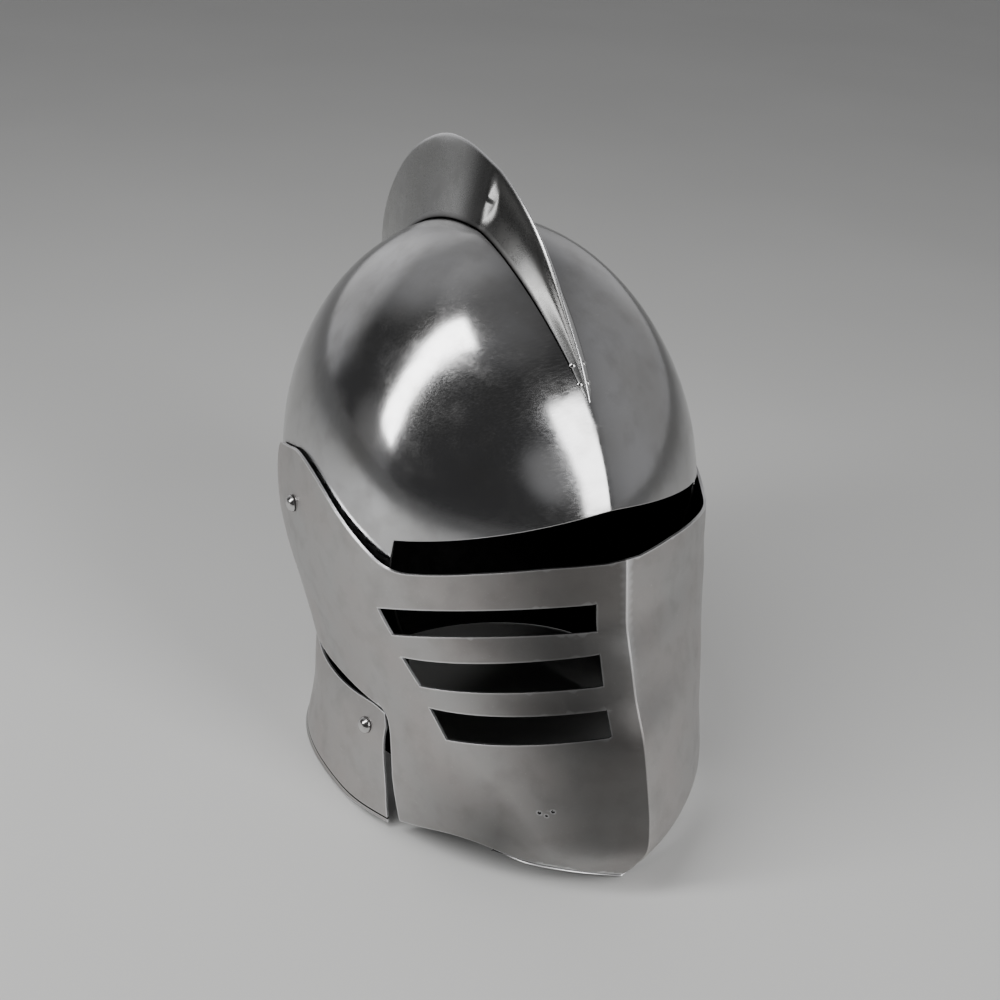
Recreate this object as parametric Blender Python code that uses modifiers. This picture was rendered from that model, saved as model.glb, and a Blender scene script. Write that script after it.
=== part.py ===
"""Close helmet in sheet steel, as it rests on its lower rim.

Metres, +Z up, the front towards -Y, the wearer's right at -X. The origin is on the floor, below the
middle of the helmet's length.
"""

import math
from collections import namedtuple

import bmesh
import bpy
from mathutils import Matrix, Vector
from mathutils.geometry import delaunay_2d_cdt

# Sheet steel and fit
WALL = 0.0014
GAP = 0.0004

# Skull: the bowl up to the crown, and the tail below the widest level
SKULL_HALF_WIDTH = 0.0999
SKULL_FRONT = 0.1215
SKULL_REAR = 0.1256
SKULL_CROWN = 0.1322
SKULL_LEVEL = 0.1497
SKULL_CENTRE = 0.0232
SKULL_DROP = 0.1157
SKULL_KEEL = 0.10
SKULL_BULGE = 0.22
TAIL_SHIFT = 0.0150
TAIL_BLUNT = 0.16
FOREHEAD_SLOPE = 1.35
BROW_HEIGHT = 0.1860
BROW_END_HEIGHT = 0.1651
BROW_ARCH = 1.3
CHEEK_EDGE = -0.0447
CHEEK_FOOT = -0.0380

# Tail of the skull, from the widest level down: share of the drop, then shares of the half width,
# of the front reach and of the rear reach
TAIL_ROWS = (
    (0.00, 1.000, 1.000, 1.000),
    (0.21, 0.952, 0.998, 0.976),
    (0.40, 0.870, 0.998, 0.910),
    (0.58, 0.820, 1.002, 0.820),
    (0.74, 0.828, 1.010, 0.710),
    (0.86, 0.860, 1.022, 0.620),
    (1.00, 0.866, 1.037, 0.550),
)

# Face plate: its height at the ridge, its reaches from the skull's centre, and its fold
FACE_HEIGHT = 0.1697
FACE_CLEARANCE = 0.0021
FACE_HALF_WIDTH = SKULL_HALF_WIDTH + FACE_CLEARANCE
FACE_FRONT = 0.1741
FACE_REAR = 0.1284
FACE_KEEL = 0.35
FACE_BULGE = 0.31

# Face plate from the rim up: share of the height, then shares of the half width, of the reach of
# the ridge and of the rear reach
FACE_ROWS = (
    (0.000, 0.905, 0.893, 0.620),
    (0.094, 0.900, 0.950, 0.630),
    (0.188, 0.893, 0.997, 0.640),
    (0.276, 0.885, 0.993, 0.660),
    (0.360, 0.884, 0.972, 0.710),
    (0.512, 0.920, 0.921, 0.910),
    (0.620, 0.960, 0.863, 0.980),
    (0.724, 0.990, 0.821, 1.020),
    (0.812, 1.001, 0.786, 1.025),
    (0.882, 1.004, 0.773, 1.015),
    (1.000, 0.992, 0.753, 0.990),
    (1.060, 0.984, 0.740, 0.980),
)

# Pivot of the face plate, the arc about it at the plate's heel, and the seam with the neck plate
PIVOT_Y = 0.0335
PIVOT_Z = 0.1478
HEEL_RADIUS = 0.0872
SEAM = 0.0018
SEAM_RISE = 0.0085
SEAM_POWER = 1.6

# Side outline of the face plate: length and height, with the length of each rounding
SLIT_EDGE_BEND = (-0.0495, 0.1520, 0.009)
LOBE_FRONT = (0.0100, 0.1758, 0.014)
LOBE_TIP = (0.0320, 0.1782, 0.008)
LOBE_SHOULDER = (0.0740, 0.1630, 0.016)
LOBE_BACK = (0.0780, 0.1160, 0.030)
LOBE_HEEL = 0.0170
NOTCH_TOP = (-0.0448, 0.0680, 0.006)
PLATE_FOOT_Y = -0.0583
LOWER_ARCH_HEIGHT = 0.0215

# Upper edge of the face plate beside the eye slit: share of the way from the ridge to the bend,
# then share of the plate's height
SLIT_EDGE_ROWS = (
    (0.00, 1.000),
    (0.04, 0.991),
    (0.20, 0.981),
    (0.45, 0.955),
    (0.71, 0.925),
)

# Lower edge of the face plate: share of the way round from its rear corner to the ridge, then
# share of the arch's height
LOWER_EDGE_ROWS = (
    (0.00, 0.380),
    (0.10, 0.640),
    (0.23, 0.930),
    (0.34, 1.000),
    (0.45, 0.885),
    (0.57, 0.710),
    (0.70, 0.585),
    (0.88, 0.350),
    (1.00, 0.000),
)

# Breathing slots on the wearer's right: share of the plate's height at the ridge, then shares of the
# opening, of the length of the upper and lower edges, of their drop to the rear, and of their bow
SLOT_SETBACK = 0.0138
SLOT_OPENING = 0.0136
SLOT_LENGTH = 0.0668
SLOT_DROP = 0.0197
SLOT_BOW = 0.0021
SLOT_ROWS = (
    (0.883, 1.000, 1.000, 0.875, 0.977, 0.840, 1.0),
    (0.748, 1.150, 0.889, 0.748, 0.880, 0.690, 0.0),
    (0.602, 0.985, 0.800, 0.663, 0.725, 0.750, -0.2),
)

# Neck plate: the wall at the rim, its turned rim, and its front edge
NECK_HALF_WIDTH = 0.0992
NECK_FRONT = 0.0970
NECK_REAR = 0.0885
NECK_CENTRE = 0.0060
NECK_HEIGHT = 0.0670
NECK_REAR_HEIGHT = 0.0520
NECK_FLARE = 1.2
NECK_GAP = 0.0009
NECK_BLUNT = 0.20
RIM_TURN = 0.0030
NECK_FRONT_FOOT = -0.0527
NECK_FRONT_TOP = -0.0350
NECK_CORNER = 0.006
NECK_CORNER_COLUMNS = 2
NECK_CORNER_LEVEL = 0.9
NECK_FIRST_TURN = 0.35
NECK_LEVELS = (-2 * WALL / NECK_HEIGHT, 0.0, 0.018, 0.045, 0.13, 0.27, 0.42, 0.60, 0.80, 1.0)

# Comb: height over the skull and half width of its base
COMB_HEIGHT = 0.0400
COMB_BASE = 0.0110
COMB_GAP = 0.0007
COMB_CREST = 0.0017
COMB_FRONT_ANGLE = math.radians(142)
COMB_REAR_ANGLE = math.radians(22)
COMB_CREST_POWER = 10
COMB_HOLLOW_START = 0.16
COMB_HOLLOW_LENGTH = 0.76
COMB_CORE_SINK = 8

# Comb from its front end to its rear end: share of the length, then shares of the height, of the
# half width of the base and of the half width of the crest
COMB_ROWS = (
    (0.00, 0.02, 0.10, 0.30),
    (0.08, 0.06, 0.29, 0.75),
    (0.17, 0.16, 0.45, 1.00),
    (0.30, 0.41, 0.72, 1.00),
    (0.45, 0.67, 0.95, 1.00),
    (0.57, 0.94, 1.00, 1.00),
    (0.66, 1.00, 0.98, 1.00),
    (0.75, 0.97, 0.90, 1.00),
    (0.86, 0.78, 0.72, 1.00),
    (0.94, 0.42, 0.45, 1.00),
    (1.00, 0.03, 0.12, 1.00),
)

# Rivets
RIVET_HEAD = 0.0046
RIVET_HEAD_HEIGHT = 0.0026
RIVET_SHANK = 0.0020
PEEN_HEIGHT = 0.0010
PEEN_WIDTH = 1.6
PEEN_TIP = 1.3
NECK_RIVET_Y = -0.0260
NECK_RIVET_Z = 0.0500
COMB_RIVET_HEAD = 0.0015
COMB_RIVET_HEIGHT = 0.0008
COMB_RIVET_SHANK = 0.0007
COMB_RIVET_FRONT = 0.062
COMB_RIVET_REAR = 0.098
COMB_RIVET_RISE = 0.35
COMB_RIVET_LENGTH = 0.0040

# Steel: colour and roughness
POLISHED = ((0.42, 0.42, 0.43), 0.22)
SATIN = ((0.40, 0.39, 0.38), 0.38)
FOLDED = ((0.38, 0.38, 0.38), 0.33)
DOMED = ((0.45, 0.45, 0.46), 0.20)

# Fineness of the curved surfaces
PLATE_FACET = 0.0106
EDGE_FACET = 0.0085
EDGE_CLEARANCE = 0.45
BEND_STEPS = 4
SLOT_STEPS = 3
RIVET_RINGS = 3
RIVET_SIDES = 12
HOLE_SIDES = 16
HOLE_DEPTH = 12
SKULL_COLUMNS = 24
CHEEK_COLUMN = 7
SKULL_ROWS = 11
TAIL_STEPS = 8
NECK_COLUMNS = 26
COMB_SECTIONS = 22
COMB_STEPS = 6
FIT_PASSES = 6
REACH_PASSES = 40

# Small numbers of the build
FLOOR_DEPTH = 0.05
MERGE = 0.00002
WELD = 1e-7
PROBE = 0.001
PROBE_SHARE = 0.004

Section = namedtuple("Section", "half front rear centre keel bulge blunt")
Rivet = namedtuple("Rivet", "head height shank length")


def blend(rows, level):
    """Values of a table at a level, on a smooth curve through its rows."""
    last = len(rows) - 2
    lower = max(i for i in range(last + 1) if i == 0 or rows[i][0] <= level)
    span = rows[lower + 1][0] - rows[lower][0]
    share = (level - rows[lower][0]) / span

    def slope(i, column):
        before = rows[max(i - 1, 0)]
        after = rows[min(i + 1, len(rows) - 1)]
        return (after[column] - before[column]) / (after[0] - before[0]) * span

    values = []
    for column in range(1, len(rows[0])):
        start = rows[lower][column]
        end = rows[lower + 1][column]
        rise = slope(lower, column)
        fall = slope(lower + 1, column)
        values.append(
            start * (1 + 2 * share) * (1 - share) ** 2
            + rise * share * (1 - share) ** 2
            + end * share**2 * (3 - 2 * share)
            + fall * share**2 * (share - 1)
        )
    return values


def forward_shift(z):
    """How far forward the widest point of the shells lies at a height below the skull's widest level."""
    return TAIL_SHIFT * min(1.0, max(0.0, (SKULL_LEVEL - z) / SKULL_DROP)) ** 2


def tail_blunt(z):
    """Fullness of the shells' rear quarters, growing down the tail."""
    return TAIL_BLUNT * min(1.0, max(0.0, (SKULL_LEVEL - z) / SKULL_DROP))


def skull_section(z):
    """Horizontal section of the skull's outer face."""
    rise = (z - SKULL_LEVEL) / SKULL_CROWN
    if rise >= 0:
        ring = math.sqrt(max(0.0, 1 - rise**2))
        shares = (ring, ring**FOREHEAD_SLOPE, ring)
    else:
        shares = blend(TAIL_ROWS, (SKULL_LEVEL - z) / SKULL_DROP)
    shift = forward_shift(z)
    return Section(
        SKULL_HALF_WIDTH * shares[0],
        SKULL_FRONT * shares[1] - shift,
        SKULL_REAR * shares[2] + shift,
        SKULL_CENTRE - shift,
        SKULL_KEEL,
        SKULL_BULGE,
        tail_blunt(z),
    )


def face_section(z):
    """Horizontal section of the face plate's outer face."""
    half, front, rear = blend(FACE_ROWS, z / FACE_HEIGHT)
    shift = forward_shift(z)
    return Section(
        FACE_HALF_WIDTH * half,
        FACE_FRONT * front - shift,
        FACE_REAR * rear + shift,
        SKULL_CENTRE - shift,
        FACE_KEEL,
        FACE_BULGE,
        tail_blunt(z),
    )


def neck_section(z):
    """Horizontal section of the neck plate, from the flared rim up to a seat on the skull's tail."""
    lift = WALL + NECK_GAP
    tail = skull_section(z)
    share = min(1.0, max(0.0, z / NECK_HEIGHT))
    flare = (1 - share) ** NECK_FLARE
    turn = max(0.0, 1 - z / RIM_TURN) ** 2 * RIM_TURN
    seated = (tail.half + lift, tail.front + lift, tail.rear + lift, tail.centre, tail.blunt)
    flared = (NECK_HALF_WIDTH, NECK_FRONT, NECK_REAR, NECK_CENTRE, NECK_BLUNT)
    half, front, rear, centre, blunt = (a + (b - a) * flare for a, b in zip(seated, flared))
    front = max(front, seated[1] + centre - tail.centre)
    rear = max(rear, seated[2] + tail.centre - centre)
    return Section(
        half + turn,
        front + turn,
        rear + turn,
        centre,
        SKULL_KEEL * share,
        SKULL_BULGE,
        blunt,
    )


def width_factor(share, bulge):
    """Extra fullness of a section between its widest point and its front or back."""
    return 1 + bulge * share**2 * (1 - share**2)


def section_point(section, turn, z):
    """Point of a section: turn 0 is its front, a quarter turn its side, a half turn its back."""
    pull = section.keel * section.half
    start = math.asin(pull / (section.half + pull))
    quarter = math.pi / 2
    if turn <= quarter:
        angle = start + (quarter - start) * turn / quarter
        share = math.cos(angle) / math.cos(start)
        x = (section.half + pull) * math.sin(angle) * width_factor(share, section.bulge) - pull
        y = section.centre - section.front * share
        x -= pull * (width_factor(share, section.bulge) - 1) * share**2
    else:
        share = -math.cos(turn)
        x = section.half * math.sin(turn) * width_factor(share, section.blunt)
        y = section.centre + section.rear * share
    return Vector((-x, y, z))


def turn_at(section, y):
    """Turn of the section's point at a given length."""
    quarter = math.pi / 2
    if y <= section.centre:
        pull = section.keel * section.half
        start = math.asin(pull / (section.half + pull))
        share = min(1.0, (section.centre - y) / section.front)
        angle = math.acos(share * math.cos(start))
        return (angle - start) / (quarter - start) * quarter
    return math.acos(-min(1.0, (y - section.centre) / section.rear))


def side_width(section_of, y, z):
    """Distance of a surface from the middle plane at a length and a height."""
    section = section_of(z)
    return -section_point(section, turn_at(section, y), z).x


def clear_scene():
    for item in list(bpy.data.objects):
        bpy.data.objects.remove(item, do_unlink=True)


def collection(name):
    group = bpy.data.collections.new(name)
    bpy.context.scene.collection.children.link(group)
    return group


def material(name, colour, roughness):
    steel = bpy.data.materials.new(name)
    steel.use_nodes = True
    shader = steel.node_tree.nodes["Principled BSDF"]
    shader.inputs["Base Color"].default_value = (*colour, 1)
    shader.inputs["Roughness"].default_value = roughness
    shader.inputs["Metallic"].default_value = 1
    return steel


def add_object(name, vertices, faces, group, steel=None):
    """Mesh object with smooth faces and sharp folds."""
    mesh = bpy.data.meshes.new(name)
    mesh.from_pydata(vertices, [], faces)
    mesh.validate()
    thing = bpy.data.objects.new(name, mesh)
    group.objects.link(thing)
    if steel:
        mesh.materials.append(steel)
        mesh.shade_smooth()
    return thing


def add_mirror(thing):
    mirror = thing.modifiers.new("other_side", "MIRROR")
    mirror.use_axis = (True, False, False)
    mirror.merge_threshold = MERGE


def add_wall(thing):
    wall = thing.modifiers.new("wall", "SOLIDIFY")
    wall.thickness = WALL
    wall.offset = -1
    wall.use_even_offset = True


def add_cut(thing, cutter):
    cut = thing.modifiers.new("cut_" + cutter.name, "BOOLEAN")
    cut.operation = "DIFFERENCE"
    cut.solver = "EXACT"
    cut.object = cutter


def as_cutter(thing):
    thing.hide_render = True
    thing.display_type = "WIRE"
    return thing


def prism_cutter(name, outline, left, right, group):
    """Block with an outline seen from the side, between two widths."""
    bm = bmesh.new()
    base = [bm.verts.new((left, y, z)) for y, z in outline]
    face = bm.faces.new(base)
    grown = bmesh.ops.extrude_face_region(bm, geom=[face])
    moved = [item for item in grown["geom"] if isinstance(item, bmesh.types.BMVert)]
    bmesh.ops.translate(bm, verts=moved, vec=(right - left, 0, 0))
    bmesh.ops.recalc_face_normals(bm, faces=bm.faces)
    mesh = bpy.data.meshes.new(name)
    bm.to_mesh(mesh)
    bm.free()
    cutter = bpy.data.objects.new(name, mesh)
    group.objects.link(cutter)
    return as_cutter(cutter)


def hole_cutter(name, place, axis, radius, group):
    """Round bar through a rivet hole."""
    bm = bmesh.new()
    bmesh.ops.create_cone(
        bm,
        cap_ends=True,
        segments=HOLE_SIDES,
        radius1=radius,
        radius2=radius,
        depth=HOLE_DEPTH * radius,
    )
    mesh = bpy.data.meshes.new(name)
    bm.to_mesh(mesh)
    bm.free()
    cutter = bpy.data.objects.new(name, mesh)
    cutter.matrix_world = Matrix.Translation(place) @ axis.to_track_quat("Z", "Y").to_matrix().to_4x4()
    group.objects.link(cutter)
    return as_cutter(cutter)


def floor_cutter(group):
    """Block below the floor, which trims the lower rims flat."""
    reach = 2 * SKULL_REAR
    outline = ((-reach, -FLOOR_DEPTH), (reach, -FLOOR_DEPTH), (reach, 0), (-reach, 0))
    return prism_cutter("floor_block", outline, -reach, reach, group)


def cheek_edge(z):
    """Length at which the skull's cheek ends, from the end of the brow to the foot of the tail."""
    share = (BROW_END_HEIGHT - z) / (BROW_END_HEIGHT - (SKULL_LEVEL - SKULL_DROP))
    return CHEEK_EDGE + (CHEEK_FOOT - CHEEK_EDGE) * share


def make_skull(group, steel):
    """Bowl from the crown to the brow, and the tail from the end of the brow down."""
    vertices = []
    faces = []
    count = {}

    def vertex(key, point):
        count[key] = len(vertices)
        vertices.append(point)

    brow_end = turn_at(skull_section(BROW_END_HEIGHT), CHEEK_EDGE)
    vertex(("crown",), Vector((0, SKULL_CENTRE, SKULL_LEVEL + SKULL_CROWN)))
    for column in range(SKULL_COLUMNS + 1):
        if column <= CHEEK_COLUMN:
            along = column / CHEEK_COLUMN
            turn = brow_end * along
            edge = BROW_HEIGHT + (BROW_END_HEIGHT - BROW_HEIGHT) * along**BROW_ARCH
        else:
            along = (column - CHEEK_COLUMN) / (SKULL_COLUMNS - CHEEK_COLUMN)
            turn = brow_end + (math.pi - brow_end) * along
            edge = BROW_END_HEIGHT
        low = math.acos((edge - SKULL_LEVEL) / SKULL_CROWN)
        for row in range(1, SKULL_ROWS + 1):
            z = SKULL_LEVEL + SKULL_CROWN * math.cos(low * row / SKULL_ROWS)
            vertex((row, column), section_point(skull_section(z), turn, z))
        if column < CHEEK_COLUMN:
            continue
        along = (column - CHEEK_COLUMN) / (SKULL_COLUMNS - CHEEK_COLUMN)
        for step in range(1, TAIL_STEPS + 1):
            foot = SKULL_LEVEL - SKULL_DROP
            z = BROW_END_HEIGHT + (foot - BROW_END_HEIGHT) * step / TAIL_STEPS
            section = skull_section(z)
            first = turn_at(section, cheek_edge(z))
            turn = first + (math.pi - first) * along
            vertex((SKULL_ROWS + step, column), section_point(section, turn, z))
    for column in range(SKULL_COLUMNS):
        faces.append([count[("crown",)], count[(1, column + 1)], count[(1, column)]])
        rows = SKULL_ROWS if column < CHEEK_COLUMN else SKULL_ROWS + TAIL_STEPS
        for row in range(1, rows):
            corners = ((row, column), (row, column + 1), (row + 1, column + 1), (row + 1, column))
            faces.append([count[key] for key in corners])
    skull = add_object("skull", vertices, faces, group, steel)
    add_mirror(skull)
    add_wall(skull)
    return skull


def cut_corners(corners, step):
    """Path through corners (length, height, rounding), with rounded bends and even steps."""
    path = []
    for i, (y, z, rounding) in enumerate(corners):
        here = Vector((y, z))
        if rounding == 0 or i in (0, len(corners) - 1):
            path.append(here)
            continue
        before = (Vector(corners[i - 1][:2]) - here).normalized() * rounding
        after = (Vector(corners[i + 1][:2]) - here).normalized() * rounding
        for k in range(BEND_STEPS + 1):
            share = k / BEND_STEPS
            path.append(here + before * (1 - share) ** 2 + after * share**2)
    walked = [path[0]]
    for start, end in zip(path, path[1:]):
        pieces = max(1, round((end - start).length / step))
        walked += [start + (end - start) * k / pieces for k in range(1, pieces + 1)]
    return walked


def seam_height(y):
    """Height of the seam between the face plate and the neck plate, midway in their gap."""
    radius = HEEL_RADIUS + SEAM / 2
    low = PIVOT_Z - radius
    if y < PIVOT_Y:
        return low + SEAM_RISE * ((PIVOT_Y - y) / (PIVOT_Y - NOTCH_TOP[0])) ** SEAM_POWER
    return PIVOT_Z - math.sqrt(radius**2 - min(LOBE_HEEL, y - PIVOT_Y) ** 2)


def lower_edge(along):
    """Height of the face plate's lower edge at a share of the way from its rear corner to the ridge."""
    return LOWER_ARCH_HEIGHT * blend(LOWER_EDGE_ROWS, along)[0]


def face_outline(step):
    """Side outline of the face plate, from the top of the ridge back, round and down to the rim."""
    ridge_y = SKULL_CENTRE - face_section(FACE_HEIGHT).front
    slit = [
        (ridge_y + (SLIT_EDGE_BEND[0] - ridge_y) * along, FACE_HEIGHT * height, 0)
        for along, height in SLIT_EDGE_ROWS
    ]
    heel = PIVOT_Y + LOBE_HEEL
    pieces = round((heel - NOTCH_TOP[0]) / (2 * step))
    lengths = [heel - (heel - NOTCH_TOP[0]) * k / pieces for k in range(pieces)]
    seam = [(y, seam_height(y) + SEAM / 2, 0) for y in lengths]
    lobe = [SLIT_EDGE_BEND, LOBE_FRONT, LOBE_TIP, LOBE_SHOULDER, LOBE_BACK]
    upper = cut_corners(slit + lobe + seam + [NOTCH_TOP, (PLATE_FOOT_Y, lower_edge(0), 0)], step)
    first = turn_at(face_section(lower_edge(0)), PLATE_FOOT_Y)
    pieces = round(first * FACE_HALF_WIDTH / step)
    rim = []
    for k in range(1, pieces + 1):
        z = lower_edge(k / pieces)
        rim.append(section_point(face_section(z), first * (1 - k / pieces), z).yz)
    return upper + rim


def inside(point, loop):
    """Whether a flat point lies inside a closed loop."""
    odd = False
    for a, b in zip(loop, loop[1:] + loop[:1]):
        if (a.y > point.y) != (b.y > point.y):
            cross = a.x + (point.y - a.y) / (b.y - a.y) * (b.x - a.x)
            if point.x < cross:
                odd = not odd
    return odd


def distance_to(point, loop):
    """Distance of a flat point from a closed loop."""
    best = math.inf
    for a, b in zip(loop, loop[1:] + loop[:1]):
        run = b - a
        share = 0
        if run.length_squared > 0:
            share = min(1, max(0, (point - a).dot(run) / run.length_squared))
        best = min(best, (a + run * share - point).length)
    return best


def flat_blank(loop, facet):
    """Triangles that fill a flat outline with even facets."""
    lattice = []
    height = facet * math.sqrt(3) / 2
    low = min(p.y for p in loop)
    rows = int((max(p.y for p in loop) - low) / height) + 1
    columns = int(max(p.x for p in loop) / facet) + 2
    for row in range(1, rows):
        for column in range(columns):
            place = Vector(((column + 0.5 * (row % 2)) * facet, low + row * height))
            if inside(place, loop) and distance_to(place, loop) > EDGE_CLEARANCE * facet:
                lattice.append(place)
    points = loop + lattice
    edges = [(i, (i + 1) % len(loop)) for i in range(len(loop))]
    flat, _, triangles, *_ = delaunay_2d_cdt(points, edges, [], 0, WELD)
    kept = []
    for triangle in triangles:
        middle = sum((flat[i] for i in triangle), Vector((0, 0))) / 3
        if inside(middle, loop):
            kept.append(triangle)
    return flat, kept


def make_face_plate(group, steel):
    """Blank cut to the side outline and bent round the face, with a fold down the middle."""
    blank = []
    for place in face_outline(EDGE_FACET):
        turn = turn_at(face_section(place.y), place.x)
        blank.append(Vector((turn * FACE_HALF_WIDTH, place.y)))
    blank[0].x = 0
    blank[-1].x = 0
    ridge = round((blank[0].y - blank[-1].y) / PLATE_FACET)
    blank += [blank[-1].lerp(blank[0], k / ridge) for k in range(1, ridge)]
    flat, triangles = flat_blank(blank, PLATE_FACET)
    pivot = Vector((0, PIVOT_Y, PIVOT_Z))
    vertices = []
    for place in flat:
        section = face_section(place.y)
        vertices.append(section_point(section, max(0.0, place.x / FACE_HALF_WIDTH), place.y) - pivot)
    faces = [triangle[::-1] for triangle in triangles]
    plate = add_object("face_plate", vertices, faces, group, steel)
    plate.location = pivot
    add_mirror(plate)
    add_wall(plate)
    return plate


def slot_cutters(group):
    """Blocks for the breathing slots, which rise towards the ridge."""
    cutters = []
    beyond = SLOT_SETBACK / SLOT_LENGTH
    shares = [-beyond] + [k / SLOT_STEPS for k in range(SLOT_STEPS + 1)]
    for i, (height, opening, upper, lower, fall, lower_fall, bow) in enumerate(SLOT_ROWS):
        top = FACE_HEIGHT * height
        front = SKULL_CENTRE - face_section(top).front
        outline = []
        for share in shares:
            arch = 4 * SLOT_BOW * bow * share * (1 - share)
            outline.append((front + SLOT_LENGTH * upper * share, top - SLOT_DROP * fall * share + arch))
        for share in reversed(shares):
            arch = 4 * SLOT_BOW * bow * share * (1 - share)
            low = top - SLOT_OPENING * opening - SLOT_DROP * lower_fall * share
            outline.append((front + SLOT_LENGTH * lower * share, low + arch))
        name = "slot_block_" + str(i + 1)
        cutters.append(prism_cutter(name, outline, -2 * FACE_HALF_WIDTH, -SLOT_SETBACK, group))
    return cutters


def neck_top(y):
    """Height of the neck plate's upper edge at a length."""
    if y < PIVOT_Y:
        return seam_height(y) - SEAM / 2
    share = (y - PIVOT_Y) / NECK_REAR
    top = seam_height(PIVOT_Y) - SEAM / 2
    return top + (NECK_REAR_HEIGHT - top) * min(1.0, share) ** 2


def make_neck_plate(group, steel):
    """Flared plate in columns from its front edge to the middle of the back."""
    vertices = []
    for column in range(NECK_COLUMNS + 1):
        along = column / NECK_COLUMNS
        corner = max(0.0, 1 - column / NECK_CORNER_COLUMNS)
        guess = math.pi * (NECK_FIRST_TURN + (1 - NECK_FIRST_TURN) * along)
        for level in NECK_LEVELS:
            y = section_point(neck_section(0), guess, 0).y
            for _ in range(FIT_PASSES):
                top = neck_top(y) - NECK_CORNER * corner**2
                z = level * top
                section = neck_section(z)
                edge = NECK_FRONT_FOOT + (NECK_FRONT_TOP - NECK_FRONT_FOOT) * max(0.0, z) / NECK_HEIGHT
                upper = max(0.0, level - NECK_CORNER_LEVEL) / (1 - NECK_CORNER_LEVEL)
                edge += NECK_CORNER * upper * corner
                first = turn_at(section, edge)
                point = section_point(section, first + (math.pi - first) * along, z)
                y = point.y
            vertices.append(point)
    faces = []
    height = len(NECK_LEVELS)
    for column in range(NECK_COLUMNS):
        for row in range(height - 1):
            low = column * height + row
            faces.append([low + 1, low + height + 1, low + height, low])
    plate = add_object("neck_plate", vertices, faces, group, steel)
    add_mirror(plate)
    add_wall(plate)
    return plate


def skull_reach(angle, x):
    """Distance from the skull's centre to its outer face, in the plane at a width."""
    near = SKULL_HALF_WIDTH / 2
    far = 2 * SKULL_HALF_WIDTH
    for _ in range(REACH_PASSES):
        middle = (near + far) / 2
        y = SKULL_CENTRE + middle * math.cos(angle)
        z = SKULL_LEVEL + middle * math.sin(angle)
        width = -1
        if z < SKULL_LEVEL + SKULL_CROWN:
            section = skull_section(z)
            if section.centre - section.front < y < section.centre + section.rear:
                width = side_width(skull_section, y, z)
        if width > x:
            near = middle
        else:
            far = middle
    return near


def comb_ring(share, inset):
    """Ring of the comb's outline across its length, at a share of that length."""
    angle = COMB_FRONT_ANGLE + (COMB_REAR_ANGLE - COMB_FRONT_ANGLE) * share
    height, base, crest = blend(COMB_ROWS, share)
    height = COMB_HEIGHT * height - inset
    base = COMB_BASE * base - inset
    crest = COMB_CREST * crest - inset
    sink = COMB_CORE_SINK * inset
    foot = base + crest
    top = skull_reach(angle, 0) + COMB_GAP + height
    half = []
    for k in range(COMB_STEPS + 1):
        rise = math.sin(math.pi / 2 * k / COMB_STEPS)
        width = crest * math.sqrt(1 - rise**COMB_CREST_POWER) + base * (1 - rise) ** 2
        start = skull_reach(angle, foot) + COMB_GAP - sink
        half.append((width, start + (top - start) * rise))
    half[-1] = (0, top)
    seat = [(w, skull_reach(angle, abs(w)) + COMB_GAP - sink) for w in (foot / 2, 0, -foot / 2)]
    ring = [(-w, r) for w, r in half] + [(w, r) for w, r in reversed(half[:-1])] + seat
    return [
        Vector((w, SKULL_CENTRE + r * math.cos(angle), SKULL_LEVEL + r * math.sin(angle)))
        for w, r in ring
    ]


def loft(name, rings, group, steel=None):
    """Closed body through rings with equal counts of points."""
    size = len(rings[0])
    vertices = [point for ring in rings for point in ring]
    faces = []
    for i in range(len(rings) - 1):
        for k in range(size):
            a = i * size + k
            b = i * size + (k + 1) % size
            faces.append([a, b, b + size, a + size])
    faces.append(list(range(size))[::-1])
    faces.append([(len(rings) - 1) * size + k for k in range(size)])
    body = add_object(name, vertices, faces, group, steel)
    bm = bmesh.new()
    bm.from_mesh(body.data)
    bmesh.ops.recalc_face_normals(bm, faces=bm.faces)
    bm.to_mesh(body.data)
    bm.free()
    return body


def make_comb(group, cutters, steel):
    """Folded fin, hollow inside, on the middle line of the skull."""
    shares = [i / COMB_SECTIONS for i in range(COMB_SECTIONS + 1)]
    comb = loft("comb", [comb_ring(share, 0) for share in shares], group, steel)
    hollow = [COMB_HOLLOW_START + COMB_HOLLOW_LENGTH * share for share in shares]
    core = as_cutter(loft("comb_core", [comb_ring(share, WALL) for share in hollow], cutters))
    add_cut(comb, core)
    return comb


def make_rivet(name, place, axis, size, group, steel):
    """Domed rivet: head, shank and peened end, turned about its axis, with its seat at the origin."""
    head, height, shank, length = size
    arc = [math.pi / 2 * k / RIVET_RINGS for k in range(RIVET_RINGS + 1)]
    profile = [(head * math.sin(a), height * math.cos(a)) for a in arc]
    peen = min(PEEN_HEIGHT, height)
    profile += [(shank, 0), (shank, -length), (PEEN_WIDTH * shank, -length)]
    profile += [(PEEN_TIP * shank, -length - peen), (0, -length - peen)]
    mesh = bpy.data.meshes.new(name)
    mesh.from_pydata([(x, 0, z) for x, z in profile], [(i, i + 1) for i in range(len(profile) - 1)], [])
    rivet = bpy.data.objects.new(name, mesh)
    mesh.materials.append(steel)
    group.objects.link(rivet)
    turn = rivet.modifiers.new("turn", "SCREW")
    turn.steps = RIVET_SIDES
    turn.render_steps = RIVET_SIDES
    turn.use_merge_vertices = True
    turn.merge_threshold = MERGE
    turn.use_normal_calculate = True
    rivet.matrix_world = Matrix.Translation(place) @ axis.to_track_quat("Z", "Y").to_matrix().to_4x4()
    return rivet


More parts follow.
